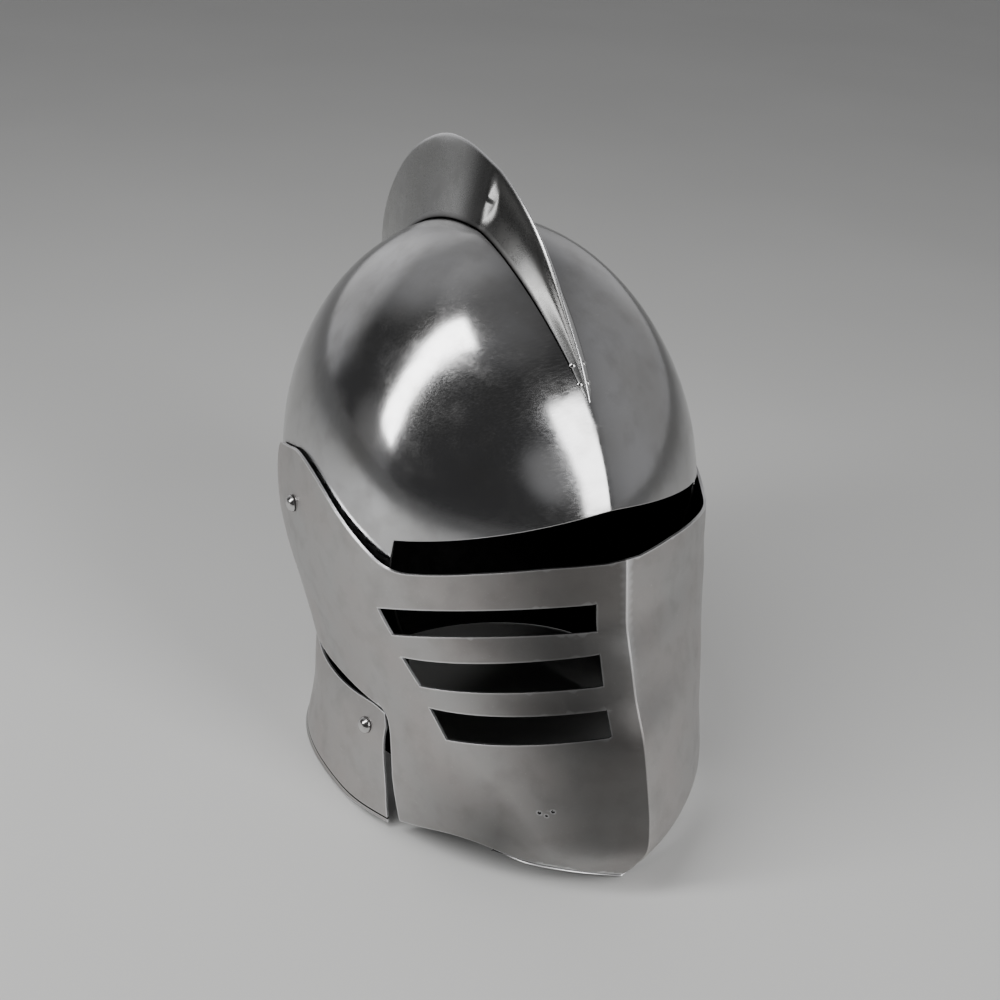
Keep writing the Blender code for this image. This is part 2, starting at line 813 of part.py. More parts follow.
def make_temple_rivets(group, cutters, steel, plates):
    """Pivots through the face plate and the skull, on one axis across the helmet."""
    outer = side_width(face_section, PIVOT_Y, PIVOT_Z)
    inner = side_width(skull_section, PIVOT_Y, PIVOT_Z) - WALL
    for side, word in ((-1, "right"), (1, "left")):
        axis = Vector((side, 0, 0))
        seat = Vector((side * (outer + 2 * GAP), PIVOT_Y, PIVOT_Z))
        size = Rivet(RIVET_HEAD, RIVET_HEAD_HEIGHT, RIVET_SHANK, outer - inner + 4 * GAP)
        make_rivet("temple_rivet_" + word, seat, axis, size, group, steel)
        hole = hole_cutter("pivot_hole_" + word, seat, axis, RIVET_SHANK + GAP, cutters)
        for plate in plates:
            add_cut(plate, hole)


def surface_normal(section_of, y, z):
    """Outward direction of a surface on the wearer's right."""

    def point(a, b):
        return Vector((-side_width(section_of, a, b), a, b))

    along = point(y + PROBE, z) - point(y - PROBE, z)
    up = point(y, z + PROBE) - point(y, z - PROBE)
    return along.cross(up).normalized() * -1


def make_neck_rivets(group, cutters, steel, plates):
    """Rivets that hold the neck plate to the skull's tail."""
    right = surface_normal(neck_section, NECK_RIVET_Y, NECK_RIVET_Z)
    if right.x > 0:
        right = -right
    width = side_width(neck_section, NECK_RIVET_Y, NECK_RIVET_Z)
    inner = side_width(skull_section, NECK_RIVET_Y, NECK_RIVET_Z) - WALL
    length = width - inner + 4 * GAP
    for side, word in ((-1, "right"), (1, "left")):
        axis = Vector((-side * right.x, right.y, right.z))
        skin = Vector((side * width, NECK_RIVET_Y, NECK_RIVET_Z))
        seat = skin + axis * GAP
        size = Rivet(RIVET_HEAD, RIVET_HEAD_HEIGHT, RIVET_SHANK, length)
        make_rivet("neck_rivet_" + word, seat, axis, size, group, steel)
        hole = hole_cutter("neck_hole_" + word, seat, axis, RIVET_SHANK + GAP, cutters)
        for plate in plates:
            add_cut(plate, hole)


def comb_flank(share):
    """Point low on the comb's side at a share of its length, and the outward direction there."""

    def point(along, rise):
        ring = comb_ring(along, 0)
        low = ring[0]
        return low.lerp(ring[1], rise)

    here = point(share, COMB_RIVET_RISE)
    ahead = point(share + PROBE_SHARE, COMB_RIVET_RISE)
    along = ahead - point(share - PROBE_SHARE, COMB_RIVET_RISE)
    up = point(share, 2 * COMB_RIVET_RISE) - here
    axis = along.cross(up).normalized()
    if axis.x > 0:
        axis = -axis
    return here, axis


def make_comb_rivets(group, cutters, steel, plates):
    """Small rivets through the flanks of the comb near its front end."""
    size = Rivet(COMB_RIVET_HEAD, COMB_RIVET_HEIGHT, COMB_RIVET_SHANK, COMB_RIVET_LENGTH)
    for share, place in ((COMB_RIVET_FRONT, "front"), (COMB_RIVET_REAR, "rear")):
        skin, right = comb_flank(share)
        for side, word in ((-1, "right"), (1, "left")):
            axis = Vector((-side * right.x, right.y, right.z))
            seat = Vector((-side * skin.x, skin.y, skin.z)) + axis * GAP
            name = place + "_" + word
            make_rivet("comb_rivet_" + name, seat, axis, size, group, steel)
            hole = hole_cutter("comb_hole_" + name, seat, axis, COMB_RIVET_SHANK + GAP, cutters)
            for plate in plates:
                add_cut(plate, hole)


def main():
    clear_scene()
    parts = collection("close_helmet")
    cutters = collection("cutters")
    skull = make_skull(parts, material("polished_steel", *POLISHED))
    face_plate = make_face_plate(parts, material("satin_steel", *SATIN))
    neck_plate = make_neck_plate(parts, material("neck_steel", *SATIN))
    comb = make_comb(parts, cutters, material("comb_steel", *FOLDED))
    floor = floor_cutter(cutters)
    add_cut(face_plate, floor)
    add_cut(neck_plate, floor)
    for slot in slot_cutters(cutters):
        add_cut(face_plate, slot)
    temple_steel = material("temple_rivet_steel", *DOMED)
    neck_rivet_steel = material("neck_rivet_steel", *DOMED)
    comb_rivet_steel = material("comb_rivet_steel", *DOMED)
    make_temple_rivets(parts, cutters, temple_steel, (skull, face_plate))
    make_neck_rivets(parts, cutters, neck_rivet_steel, (skull, neck_plate))
    make_comb_rivets(parts, cutters, comb_rivet_steel, (skull, comb))



main()
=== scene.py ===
"""Looks of the close helmet: polished and satin sheet steel, edges lightened by wear and painted highlight,
and an inside painted near black as shade.

Metres, +Z up, the front towards -Y. The shells follow the same named sizes as the solids they stand for.
"""

import math
from collections import namedtuple

import bmesh
import bpy
import numpy as np
from mathutils import Matrix, Vector
from mathutils.geometry import delaunay_2d_cdt


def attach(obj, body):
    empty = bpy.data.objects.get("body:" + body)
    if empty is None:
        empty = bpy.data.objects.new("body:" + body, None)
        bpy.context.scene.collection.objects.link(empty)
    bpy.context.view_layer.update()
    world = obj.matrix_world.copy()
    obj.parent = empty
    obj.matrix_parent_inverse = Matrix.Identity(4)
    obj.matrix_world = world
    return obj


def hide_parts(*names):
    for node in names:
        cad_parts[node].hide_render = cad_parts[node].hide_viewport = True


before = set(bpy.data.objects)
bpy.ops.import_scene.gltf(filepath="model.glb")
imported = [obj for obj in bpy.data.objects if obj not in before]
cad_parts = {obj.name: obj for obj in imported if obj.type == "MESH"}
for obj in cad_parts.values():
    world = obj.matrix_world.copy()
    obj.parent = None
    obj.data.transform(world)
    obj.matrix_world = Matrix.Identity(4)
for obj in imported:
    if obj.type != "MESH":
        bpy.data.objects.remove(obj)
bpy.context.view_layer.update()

Section = namedtuple("Section", "half front rear centre keel bulge blunt")
Rivet = namedtuple("Rivet", "head height shank length")
Look = namedtuple("Look", "clean warm dark bare roughness grain waviness")

# Camera at the photograph's angle: place, then turn, height and roll in degrees
CAMERA_PLACE = Vector((-0.3133, -0.5146, 0.4860))
CAMERA_TURN = -31.09
CAMERA_HEIGHT = 29.63
CAMERA_ROLL = 3.70
CAMERA_LENS = 48.75

# Sheet steel
WALL = 0.0014
GAP = 0.0004

# Skull: the bowl up to the crown, and the tail below the widest level
SKULL_HALF_WIDTH = 0.0999
SKULL_FRONT = 0.1215
SKULL_REAR = 0.1256
SKULL_CROWN = 0.1322
SKULL_LEVEL = 0.1497
SKULL_CENTRE = 0.0232
SKULL_DROP = 0.1157
SKULL_KEEL = 0.10
SKULL_BULGE = 0.22
TAIL_SHIFT = 0.0150
TAIL_BLUNT = 0.16
FOREHEAD_SLOPE = 1.35
BROW_HEIGHT = 0.1860
BROW_END_HEIGHT = 0.1651
BROW_ARCH = 1.3
CHEEK_EDGE = -0.0447
CHEEK_FOOT = -0.0380
RIDGE_ROUND = 0.0016
RIDGE_SLOPE = 1.1

# Tail of the skull, from the widest level down: share of the drop, then shares of the half width,
# of the front reach and of the rear reach
TAIL_ROWS = (
    (0.00, 1.000, 1.000, 1.000),
    (0.21, 0.952, 0.998, 0.976),
    (0.40, 0.870, 0.998, 0.910),
    (0.58, 0.820, 1.002, 0.820),
    (0.74, 0.828, 1.010, 0.710),
    (0.86, 0.860, 1.022, 0.620),
    (1.00, 0.866, 1.037, 0.550),
)

# Face plate: its height at the ridge, its reaches from the skull's centre, and its fold
FACE_HEIGHT = 0.1697
FACE_CLEARANCE = 0.0021
FACE_HALF_WIDTH = SKULL_HALF_WIDTH + FACE_CLEARANCE
FACE_FRONT = 0.1741
FACE_REAR = 0.1284
FACE_KEEL = 0.35
FACE_BULGE = 0.31

# Face plate from the rim up: share of the height, then shares of the half width, of the reach of
# the ridge and of the rear reach
FACE_ROWS = (
    (0.000, 0.905, 0.893, 0.620),
    (0.094, 0.900, 0.950, 0.630),
    (0.188, 0.893, 0.997, 0.640),
    (0.276, 0.885, 0.993, 0.660),
    (0.360, 0.884, 0.972, 0.710),
    (0.512, 0.920, 0.921, 0.910),
    (0.620, 0.960, 0.863, 0.980),
    (0.724, 0.990, 0.821, 1.020),
    (0.812, 1.001, 0.786, 1.025),
    (0.882, 1.004, 0.773, 1.015),
    (1.000, 0.992, 0.753, 0.990),
    (1.060, 0.984, 0.740, 0.980),
)

# Pivot of the face plate, the arc about it at the plate's heel, and the seam with the neck plate
PIVOT_Y = 0.0335
PIVOT_Z = 0.1478
HEEL_RADIUS = 0.0872
SEAM = 0.0018
SEAM_RISE = 0.0085
SEAM_POWER = 1.6

# Side outline of the face plate: length and height, with the length of each rounding
SLIT_EDGE_BEND = (-0.0495, 0.1520, 0.009)
LOBE_FRONT = (0.0100, 0.1758, 0.014)
LOBE_TIP = (0.0320, 0.1782, 0.008)
LOBE_SHOULDER = (0.0740, 0.1630, 0.016)
LOBE_BACK = (0.0780, 0.1160, 0.030)
LOBE_HEEL = 0.0170
NOTCH_TOP = (-0.0448, 0.0680, 0.006)
PLATE_FOOT_Y = -0.0583
LOWER_ARCH_HEIGHT = 0.0215

# Upper edge of the face plate beside the eye slit: share of the way from the ridge to the bend,
# then share of the plate's height
SLIT_EDGE_ROWS = (
    (0.00, 1.000),
    (0.04, 0.991),
    (0.20, 0.981),
    (0.45, 0.955),
    (0.71, 0.925),
)

# Lower edge of the face plate: share of the way round from its rear corner to the ridge, then
# share of the arch's height
LOWER_EDGE_ROWS = (
    (0.00, 0.380),
    (0.10, 0.640),
    (0.23, 0.930),
    (0.34, 1.000),
    (0.45, 0.885),
    (0.57, 0.710),
    (0.70, 0.585),
    (0.88, 0.350),
    (1.00, 0.115),
)

# Lip under the front of the lower edge: drop below the edge, step out from the plate's face, then
# the painted shade of its groove and the painted highlight of its edge
LIP_START = 0.41
LIP_RAMP = 0.16
LIP_WALL = 0.0009
LIP_PROBE = 0.02
LIP_ROWS = (
    (-0.0010, -0.0016, 1.0, 0.0),
    (0.0004, -0.0015, 1.0, 0.0),
    (0.0010, -0.0011, 1.0, 0.0),
    (0.0012, -0.0002, 0.2, 0.8),
    (0.0015, 0.0003, 0.0, 1.0),
    (0.0021, 0.0002, 0.0, 1.0),
)

# Breathing slots on the wearer's right: share of the plate's height at the ridge, then shares of the
# opening, of the length of the upper and lower edges, of their drop to the rear, and of their bow
SLOT_SETBACK = 0.0138
SLOT_OPENING = 0.0136
SLOT_LENGTH = 0.0668
SLOT_DROP = 0.0197
SLOT_BOW = 0.0021
SLOT_ROWS = (
    (0.883, 1.000, 1.000, 0.875, 0.977, 0.840, 1.0),
    (0.748, 1.150, 0.889, 0.748, 0.880, 0.690, 0.0),
    (0.602, 0.985, 0.800, 0.663, 0.725, 0.750, -0.2),
)

# Neck plate: its reaches at the rim, its turned rim, its front edge, and how far its front stands out
# beside the face plate
NECK_HALF_WIDTH = 0.0992
NECK_FRONT = 0.0970
NECK_REAR = 0.0885
NECK_CENTRE = 0.0060
NECK_HEIGHT = 0.0670
NECK_REAR_HEIGHT = 0.0520
NECK_FLARE = 1.2
NECK_GAP = 0.0009
NECK_BLUNT = 0.20
RIM_TURN = 0.0030
RIM_GROOVE = 0.0040
RIM_GROOVE_HALF = 0.0005
NECK_FRONT_FOOT = -0.0543
NECK_FRONT_TOP = -0.0383
RIM_FOOT = 0.0013
RIM_LIFT = 0.0034
RIM_LIFT_SHARE = 0.16
RIM_LIFT_FADE = 3
NECK_CORNER = 0.0025
NECK_CORNER_SHARE = 0.077
NECK_CORNER_LEVEL = 0.9
NECK_FIRST_TURN = 0.35
NECK_FLUSH = 0.0042
NECK_FLUSH_REAR = 0.0650
NECK_FLUSH_FRONT = -0.0150
NECK_FLUSH_TOP = 0.75
NECK_OPENING = 0.0026

# Comb: height over the skull and half width of its base
COMB_HEIGHT = 0.0400
COMB_BASE = 0.0110
COMB_GAP = 0.0007
COMB_CREST = 0.0016
COMB_FRONT_ANGLE = math.radians(142)
COMB_REAR_ANGLE = math.radians(22)
COMB_CREST_POWER = 10
COMB_SINK_END = 0.10

# Comb from its front end to its rear end: share of the length, then shares of the height, of the
# half width of the base and of the half width of the crest
COMB_ROWS = (
    (0.00, -0.02, 0.04, 0.10),
    (0.08, 0.06, 0.24, 0.50),
    (0.17, 0.16, 0.45, 0.80),
    (0.30, 0.41, 0.72, 1.00),
    (0.45, 0.67, 0.95, 1.00),
    (0.57, 0.94, 1.00, 1.00),
    (0.66, 1.00, 0.98, 1.00),
    (0.75, 0.97, 0.90, 1.00),
    (0.86, 0.78, 0.72, 1.00),
    (0.94, 0.42, 0.45, 1.00),
    (1.00, 0.03, 0.12, 0.60),
)

# Comb's flanks: their hollowing in front of the crease and behind it, the crease's share of the length
# at the skull and at the crest, the painted dark reflection in front of it with a light streak left along
# its foot, and the steps beside the crest that carry a painted highlight
FLANK_FRONT = 3.2
FLANK_REAR = 1.25
CREASE_FOOT = 0.42
CREASE_TOP = 0.435
CREASE_HALF = 0.006
COMB_SHADE_START = (0.04, 0.12)
COMB_SHADE_HOLD = 0.03
COMB_SHADE_FADE = 0.10
COMB_STREAK = 0.12
COMB_STREAK_RISE = 0.35
COMB_HIGHLIGHT_STEPS = 4

# Rivets: heads, shanks, peened ends and places
RIVET_HEAD = 0.0043
RIVET_HEAD_HEIGHT = 0.0030
RIVET_SHANK = 0.0020
RIVET_UNDERCUT = 0.98
RIVET_SINK = 0.05
RIVET_DARK_FOOT = 0.12
PEEN_HEIGHT = 0.0010
PEEN_WIDTH = 1.6
PEEN_TIP = 1.3
NECK_RIVET = (-0.0290, 0.0500)
COMB_RIVET = Rivet(head=0.0013, height=0.0006, shank=0.0007, length=0.0040)
COMB_RIVET_FRONT = 0.062
COMB_RIVET_REAR = 0.098
COMB_RIVET_RISE = 0.0583

# Small round holes and a pit near the front of the face plate: length and height, then radius
SMALL_HOLES = (
    ((-0.1219, 0.0503), 0.0008),
    ((-0.1257, 0.0521), 0.0008),
    ((-0.1243, 0.0494), 0.0006),
)

# Fineness of the shells, and the skull's first columns beside its ridge, in column widths
FACET = 0.0026
OUTLINE_STEP = FACET * 0.7
SLOT_STEP = FACET * 0.6
HOLE_SIDES = 20
SMALL_HOLE_SIDES = 12
RIDGE_COLUMNS = (0, 0.25, 0.90, 2.04, 3.28, 4.52)
BROW_COLUMNS = 26
SIDE_COLUMNS = 70
BOWL_ROWS = 52
TAIL_STEPS = 44
NECK_COLUMNS = 130
NECK_LEVELS = 20
LIP_COLUMNS = 90
COMB_SECTIONS = 120
COMB_STEPS = 22
EDGE_ROUND = 0.00055
EDGE_BAND = 0.0008
EDGE_ANGLE = 35
FACE_EDGE_ANGLE = 24
COMB_EDGE_ANGLE = 40
RIVET_EDGE_ANGLE = 50
# Depths under the plates over which the skull's painted shade comes in
UNDER_PLATE_SHADE_DEPTHS = (-0.0004, 0.0024)
BEND_STEPS = 12
RIVET_RINGS = 8
RIVET_SIDES = 32
FIT_PASSES = 6
HALVINGS = 34
PROBE = 0.001
PROBE_SHARE = 0.004
WELD = 1e-6
CLOSE = 1e-8

# Steels: clean, warm, dark and raw-steel tones, the last also painting the edges' highlights, then
# roughness, grain and waviness
BARE_AND_HIGHLIGHT = (0.90, 0.90, 0.91)
POLISHED = Look((0.56, 0.56, 0.57), (0.50, 0.495, 0.49), (0.30, 0.29, 0.28), BARE_AND_HIGHLIGHT, 0.14, 0.000006, 0.0003)
SATIN = Look((0.45, 0.445, 0.44), (0.45, 0.425, 0.415), (0.29, 0.275, 0.265), BARE_AND_HIGHLIGHT, 0.36, 0.000015, 0.0003)
FOLDED = Look((0.62, 0.62, 0.62), (0.57, 0.57, 0.56), (0.28, 0.28, 0.27), BARE_AND_HIGHLIGHT, 0.27, 0.000012, 0.0003)
DOMED = Look((0.62, 0.62, 0.62), (0.54, 0.53, 0.52), (0.25, 0.24, 0.23), BARE_AND_HIGHLIGHT, 0.16, 0.000008, 0.0001)

# Marks in the steels: noise scale, detail, stretch and turn, then the values between which each shows
MOTTLE = ((24, 5), 0.38, 0.66)
STAIN = ((80, 7), 0.48, 0.80)
SPECK = ((900, 2), 0.72, 0.80)
BRUSH = ((1, 4, (60, 1500, 1500), (0.3, 0.5, 0.2)), 0.68, 0.73)
CROSS = ((1, 3, (1600, 90, 1600), (0.9, 0.1, 0.7)), 0.69, 0.74)
SWELL = (30, 2)
GRIT = (2200, 2)
# Pointiness over which edges lighten, as wear and as painted highlight
EDGE_WEAR_AND_HIGHLIGHT = (0.53, 0.60)
STAIN_DEPTH = 0.40
SPECK_DEPTH = 0.30
SCRATCH_DEPTH = 0.25
EDGE_WEAR_AND_HIGHLIGHT_DEPTH = 0.85
# Depth and tone of the painted shade, which also darkens joints, and tone of the painted dark reflection
SHADE_AND_GRIME_DEPTH = 0.96
DARK_REFLECTION_TONE = (0.035, 0.034, 0.032)
SHADE_AND_GRIME_TONE = (0.012, 0.011, 0.010)

# Inside painted near black as shade, and pale floor: noise with its range, and the two tones between which
# it varies
INSIDE_TONE_NOISE = ((70, 5), 0.35, 0.70)
INSIDE_SHADE_TONES = ((0.004, 0.004, 0.004), (0.012, 0.011, 0.010))
SCALED_ROUGH = ((160, 3), 0.30, 0.70, 0.60, 0.85)
SCALED_BUMP = (400, 4)
FLOOR_REACH = 30
FLOOR_PATCH = ((3, 2), 0.30, 0.70)
FLOOR_TONES = ((0.67, 0.67, 0.66), (0.70, 0.70, 0.69))

# Studio: strip lights as azimuth and height above the helmet's middle, distance, length, width,
# lean of the long side and radiance
LIGHT_TARGET = Vector((0, 0.02, 0.20))
STRIPS = (
    ("strip_left", -90, 43, 1.10, 1.45, 0.24, 73, 11.0),
    ("strip_front", 15, 26, 1.20, 0.97, 0.40, 90, 7.0),
)

# Soft sky: azimuth and height of each glow's middle, its inner and outer angles, and its radiance
SKY_TONE = (0.99, 0.99, 1.0)
SKY_BASE = 0.045
SKY_GLOWS = (
    (85, 10, 18, 58, 0.31),
    (-170, 6, 10, 30, 0.50),
    (180, 50, 14, 40, 0.30),
    (-112, -2, 6, 20, 0.16),
    (150, 12, 15, 45, 0.35),
    (20, 90, 8, 30, 0.12),
    (-6, 24, 4, 16, 0.22),
)

# Painted dark reflection on the wearer's right: turns between which it fades out beside the face plate's
# ridge, heights between which it fades in, its share at the chin, a low patch behind it, and its depth
DARK_REFLECTION_TURNS = (0.22, 0.78)
DARK_REFLECTION_HEIGHTS = (0.006, 0.040)
DARK_REFLECTION_CHIN = 0.10
DARK_REFLECTION_LOW = 0.95
DARK_REFLECTION_LOW_TURN = 0.6
DARK_REFLECTION_LOW_HEIGHTS = (0.075, 0.030)
DARK_REFLECTION_DEPTH = 0.76
DARK_REFLECTION_SIDE = (-0.0010, -0.0005, DARK_REFLECTION_DEPTH, 0.0)


def blend(rows, level):
    """Values of a table at a level, on a smooth curve through its rows."""
    lower = max(i for i in range(len(rows) - 1) if i == 0 or rows[i][0] <= level)
    span = rows[lower + 1][0] - rows[lower][0]
    share = (level - rows[lower][0]) / span

    def slope(i, column):
        before = rows[max(i - 1, 0)]
        after = rows[min(i + 1, len(rows) - 1)]
        return (after[column] - before[column]) / (after[0] - before[0]) * span

    def value(column):
        start = rows[lower][column] * (1 + 2 * share) * (1 - share) ** 2
        end = rows[lower + 1][column] * share**2 * (3 - 2 * share)
        rise = slope(lower, column) * share * (1 - share) ** 2
        return start + rise + end + slope(lower + 1, column) * share**2 * (share - 1)

    return [value(column) for column in range(1, len(rows[0]))]


def tail_share(z):
    """Share of the way down from the skull's widest level to the foot of its tail."""
    return min(1.0, max(0.0, (SKULL_LEVEL - z) / SKULL_DROP))


def shell_section(z, half, front, rear, keel, bulge):
    """Section about the skull's centre, which moves forward down the tail."""
    shift = TAIL_SHIFT * tail_share(z) ** 2
    blunt = TAIL_BLUNT * tail_share(z)
    return Section(half, front - shift, rear + shift, SKULL_CENTRE - shift, keel, bulge, blunt)


def skull_section(z):
    """Horizontal section of the skull's outer face."""
    rise = (z - SKULL_LEVEL) / SKULL_CROWN
    if rise >= 0:
        half = rear = math.sqrt(max(0.0, 1 - rise**2))
        front = half**FOREHEAD_SLOPE
    else:
        half, front, rear = blend(TAIL_ROWS, (SKULL_LEVEL - z) / SKULL_DROP)
    reaches = (SKULL_HALF_WIDTH * half, SKULL_FRONT * front, SKULL_REAR * rear)
    return shell_section(z, *reaches, SKULL_KEEL, SKULL_BULGE)


def face_section(z):
    """Horizontal section of the face plate's outer face."""
    half, front, rear = blend(FACE_ROWS, z / FACE_HEIGHT)
    reaches = (FACE_HALF_WIDTH * half, FACE_FRONT * front, FACE_REAR * rear)
    return shell_section(z, *reaches, FACE_KEEL, FACE_BULGE)


def neck_section(z):
    """Horizontal section of the neck plate, seated on the skull's tail at its top."""
    lift = WALL + NECK_GAP
    tail = skull_section(z)
    share = min(1.0, max(0.0, z / NECK_HEIGHT))
    flare = (1 - share) ** NECK_FLARE
    turn = max(0.0, 1 - z / RIM_TURN) ** 2 * RIM_TURN
    seated = (tail.half + lift, tail.front + lift, tail.rear + lift, tail.centre, tail.blunt)
    flared = (NECK_HALF_WIDTH, NECK_FRONT, NECK_REAR, NECK_CENTRE, NECK_BLUNT)
    half, front, rear, centre, blunt = (a + (b - a) * flare for a, b in zip(seated, flared))
    front = max(front, seated[1] + centre - tail.centre)
    rear = max(rear, seated[2] + tail.centre - centre)
    return Section(half + turn, front + turn, rear + turn, centre, SKULL_KEEL * share, SKULL_BULGE, blunt)


def width_factor(share, bulge):
    """Extra fullness of a section between its widest point and its front or back."""
    return 1 + bulge * share**2 * (1 - share**2)


def section_point(section, turn, z):
    """Point of a section: turn 0 is its front, a quarter turn its side, a half turn its back."""
    pull = section.keel * section.half
    start = math.asin(pull / (section.half + pull))
    quarter = math.pi / 2
    if turn <= quarter:
        angle = start + (quarter - start) * turn / quarter
        share = math.cos(angle) / math.cos(start)
        x = (section.half + pull) * math.sin(angle) * width_factor(share, section.bulge) - pull
        y = section.centre - section.front * share
        x -= pull * (width_factor(share, section.bulge) - 1) * share**2
    else:
        share = -math.cos(turn)
        x = section.half * math.sin(turn) * width_factor(share, section.blunt)
        y = section.centre + section.rear * share
    return Vector((-x, y, z))


def turn_at(section, y):
    """Turn of the section's point at a given length."""
    quarter = math.pi / 2
    if y <= section.centre:
        pull = section.keel * section.half
        start = math.asin(pull / (section.half + pull))
        share = min(1.0, (section.centre - y) / section.front)
        angle = math.acos(share * math.cos(start))
        return (angle - start) / (quarter - start) * quarter
    return math.acos(-min(1.0, (y - section.centre) / section.rear))


def bisect(low, high, holds):
    """Highest value, between two others, up to which a test holds."""
    for _ in range(HALVINGS):
        middle = (low + high) / 2
        if holds(middle):
            low = middle
        else:
            high = middle
    return low


def turn_at_width(section, width, z):
    """Turn of the front quarter's point at a given distance from the middle plane."""
    return bisect(0.0, math.pi / 2, lambda turn: -section_point(section, turn, z).x < width)


def side_width(section_of, y, z):
    """Distance of a surface from the middle plane at a length and a height."""
    section = section_of(z)
    return -section_point(section, turn_at(section, y), z).x


def cheek_edge(z):
    """Length at which the skull's cheek ends at a height."""
    share = (BROW_END_HEIGHT - z) / (BROW_END_HEIGHT - (SKULL_LEVEL - SKULL_DROP))
    return CHEEK_EDGE + (CHEEK_FOOT - CHEEK_EDGE) * share


def rounded_ridge(point, section):
    """Softens the skull's middle line, so that it is a rounded ridge and not a knife edge."""
    width = abs(point.x)
    if width < RIDGE_ROUND and point.y < section.centre:
        point.y += section.keel * RIDGE_SLOPE * (RIDGE_ROUND - width) ** 2 / (2 * RIDGE_ROUND)
    return point


def fit(thing, **settings):
    for name, value in settings.items():
        setattr(thing, name, value)


def mesh_object(name, vertices, faces):
    mesh = bpy.data.meshes.new(name)
    mesh.from_pydata([tuple(v) for v in vertices], [], faces)
    mesh.validate()
    thing = bpy.data.objects.new(name, mesh)
    bpy.context.scene.collection.objects.link(thing)
    return thing


def paint(thing, **layers):
    """Values on each vertex, which the materials read."""
    for name, values in layers.items():
        layer = thing.data.attributes.new(name, "FLOAT", "POINT")
        layer.data.foreach_set("value", [float(v) for v in values])


def grid_faces(columns, rows):
    """Four-sided faces between neighbouring columns of points."""
    return [
        [low, low + rows, low + rows + 1, low + 1]
        for column in range(columns - 1)
        for low in range(column * rows, (column + 1) * rows - 1)
    ]


def ramp(value, low, high):
    """Smooth step from 0 at one value to 1 at another."""
    share = min(1.0, max(0.0, (value - low) / (high - low)))
    return share * share * (3 - 2 * share)


def face_outwards(thing, centre):
    """Turns an open shell's faces away from a point inside it."""
    bm = bmesh.new()
    bm.from_mesh(thing.data)
    bmesh.ops.remove_doubles(bm, verts=bm.verts, dist=WELD)
    bmesh.ops.recalc_face_normals(bm, faces=bm.faces)
    middle = Vector(centre)
    if sum(face.normal.dot(face.calc_center_median() - middle) for face in bm.faces) < 0:
        bmesh.ops.reverse_faces(bm, faces=bm.faces)
    bm.to_mesh(thing.data)
    bm.free()


def add_shell(thing, outside, inside, thickness=WALL, edge_round=EDGE_ROUND, angle=EDGE_ANGLE):
    """Gives an open surface its wall, rounded edges and its two materials."""
    thing.data.materials.append(outside)
    thing.data.materials.append(inside)
    wall = thing.modifiers.new("wall", "SOLIDIFY")
    fit(wall, thickness=thickness, offset=-1, use_even_offset=True, material_offset=1)
    wall.material_offset_rim = 0
    edges = thing.modifiers.new("edges", "BEVEL")
    fit(edges, width=edge_round, segments=3, limit_method="ANGLE")
    fit(edges, angle_limit=math.radians(angle), harden_normals=True)
    thing.data.shade_smooth()


def make_skull(outside, inside):
    """Bowl from the crown to the brow, and the tail from the end of the brow down."""
    foot = SKULL_LEVEL - SKULL_DROP
    brow_end = turn_at(skull_section(BROW_END_HEIGHT), CHEEK_EDGE)
    vertices = [Vector((0, SKULL_CENTRE, SKULL_LEVEL + SKULL_CROWN))]
    starts = []
    for column in range(BROW_COLUMNS + SIDE_COLUMNS + 1):
        starts.append(len(vertices))
        behind = (column - BROW_COLUMNS) / SIDE_COLUMNS
        if behind <= 0:
            along = (RIDGE_COLUMNS[column] if column < len(RIDGE_COLUMNS) else column) / BROW_COLUMNS
            turn = brow_end * along
            edge = BROW_HEIGHT + (BROW_END_HEIGHT - BROW_HEIGHT) * along**BROW_ARCH
        else:
            turn = brow_end + (math.pi - brow_end) * behind
            edge = BROW_END_HEIGHT
        low = math.acos((edge - SKULL_LEVEL) / SKULL_CROWN)
        for row in range(1, BOWL_ROWS + 1):
            z = SKULL_LEVEL + SKULL_CROWN * math.cos(low * row / BOWL_ROWS)
            section = skull_section(z)
            vertices.append(rounded_ridge(section_point(section, turn, z), section))
        for step in range(1, TAIL_STEPS + 1) if behind >= 0 else ():
            z = BROW_END_HEIGHT + (foot - BROW_END_HEIGHT) * step / TAIL_STEPS
            section = skull_section(z)
            first = turn_at(section, cheek_edge(z))
            vertices.append(section_point(section, first + (math.pi - first) * behind, z))
    faces = []
    for column, (here, after) in enumerate(zip(starts, starts[1:])):
        rows = BOWL_ROWS if column < BROW_COLUMNS else BOWL_ROWS + TAIL_STEPS
        faces.append([0, after, here])
        faces += [[here + k, after + k, after + k + 1, here + k + 1] for k in range(rows - 1)]
    skull = mirrored_object("skull_shell", vertices, faces)
    # Painted shade, near black, on the skull where the face plate and the neck plate cover it
    paint(skull, grime=covered([v.co for v in skull.data.vertices]))
    face_outwards(skull, (0, SKULL_CENTRE, SKULL_LEVEL))
    add_shell(skull, outside, inside)
    return skull


def tube_faces(rings, size, first=0):
    """Four-sided faces between neighbouring closed rings of points."""
    faces = []
    for low in range(first, first + (rings - 1) * size, size):
        for k in range(size):
            after = low + (k + 1) % size
            faces.append([low + k, after, after + size, low + k + size])
    return faces


def mirrored_object(name, vertices, faces):
    """Mesh of a half on the wearer's right and its mirror image."""
    size = len(vertices)
    both = list(vertices) + [Vector((-v.x, v.y, v.z)) for v in vertices]
    turned = [[i + size for i in reversed(face)] for face in faces]
    return mesh_object(name, both, faces + turned)


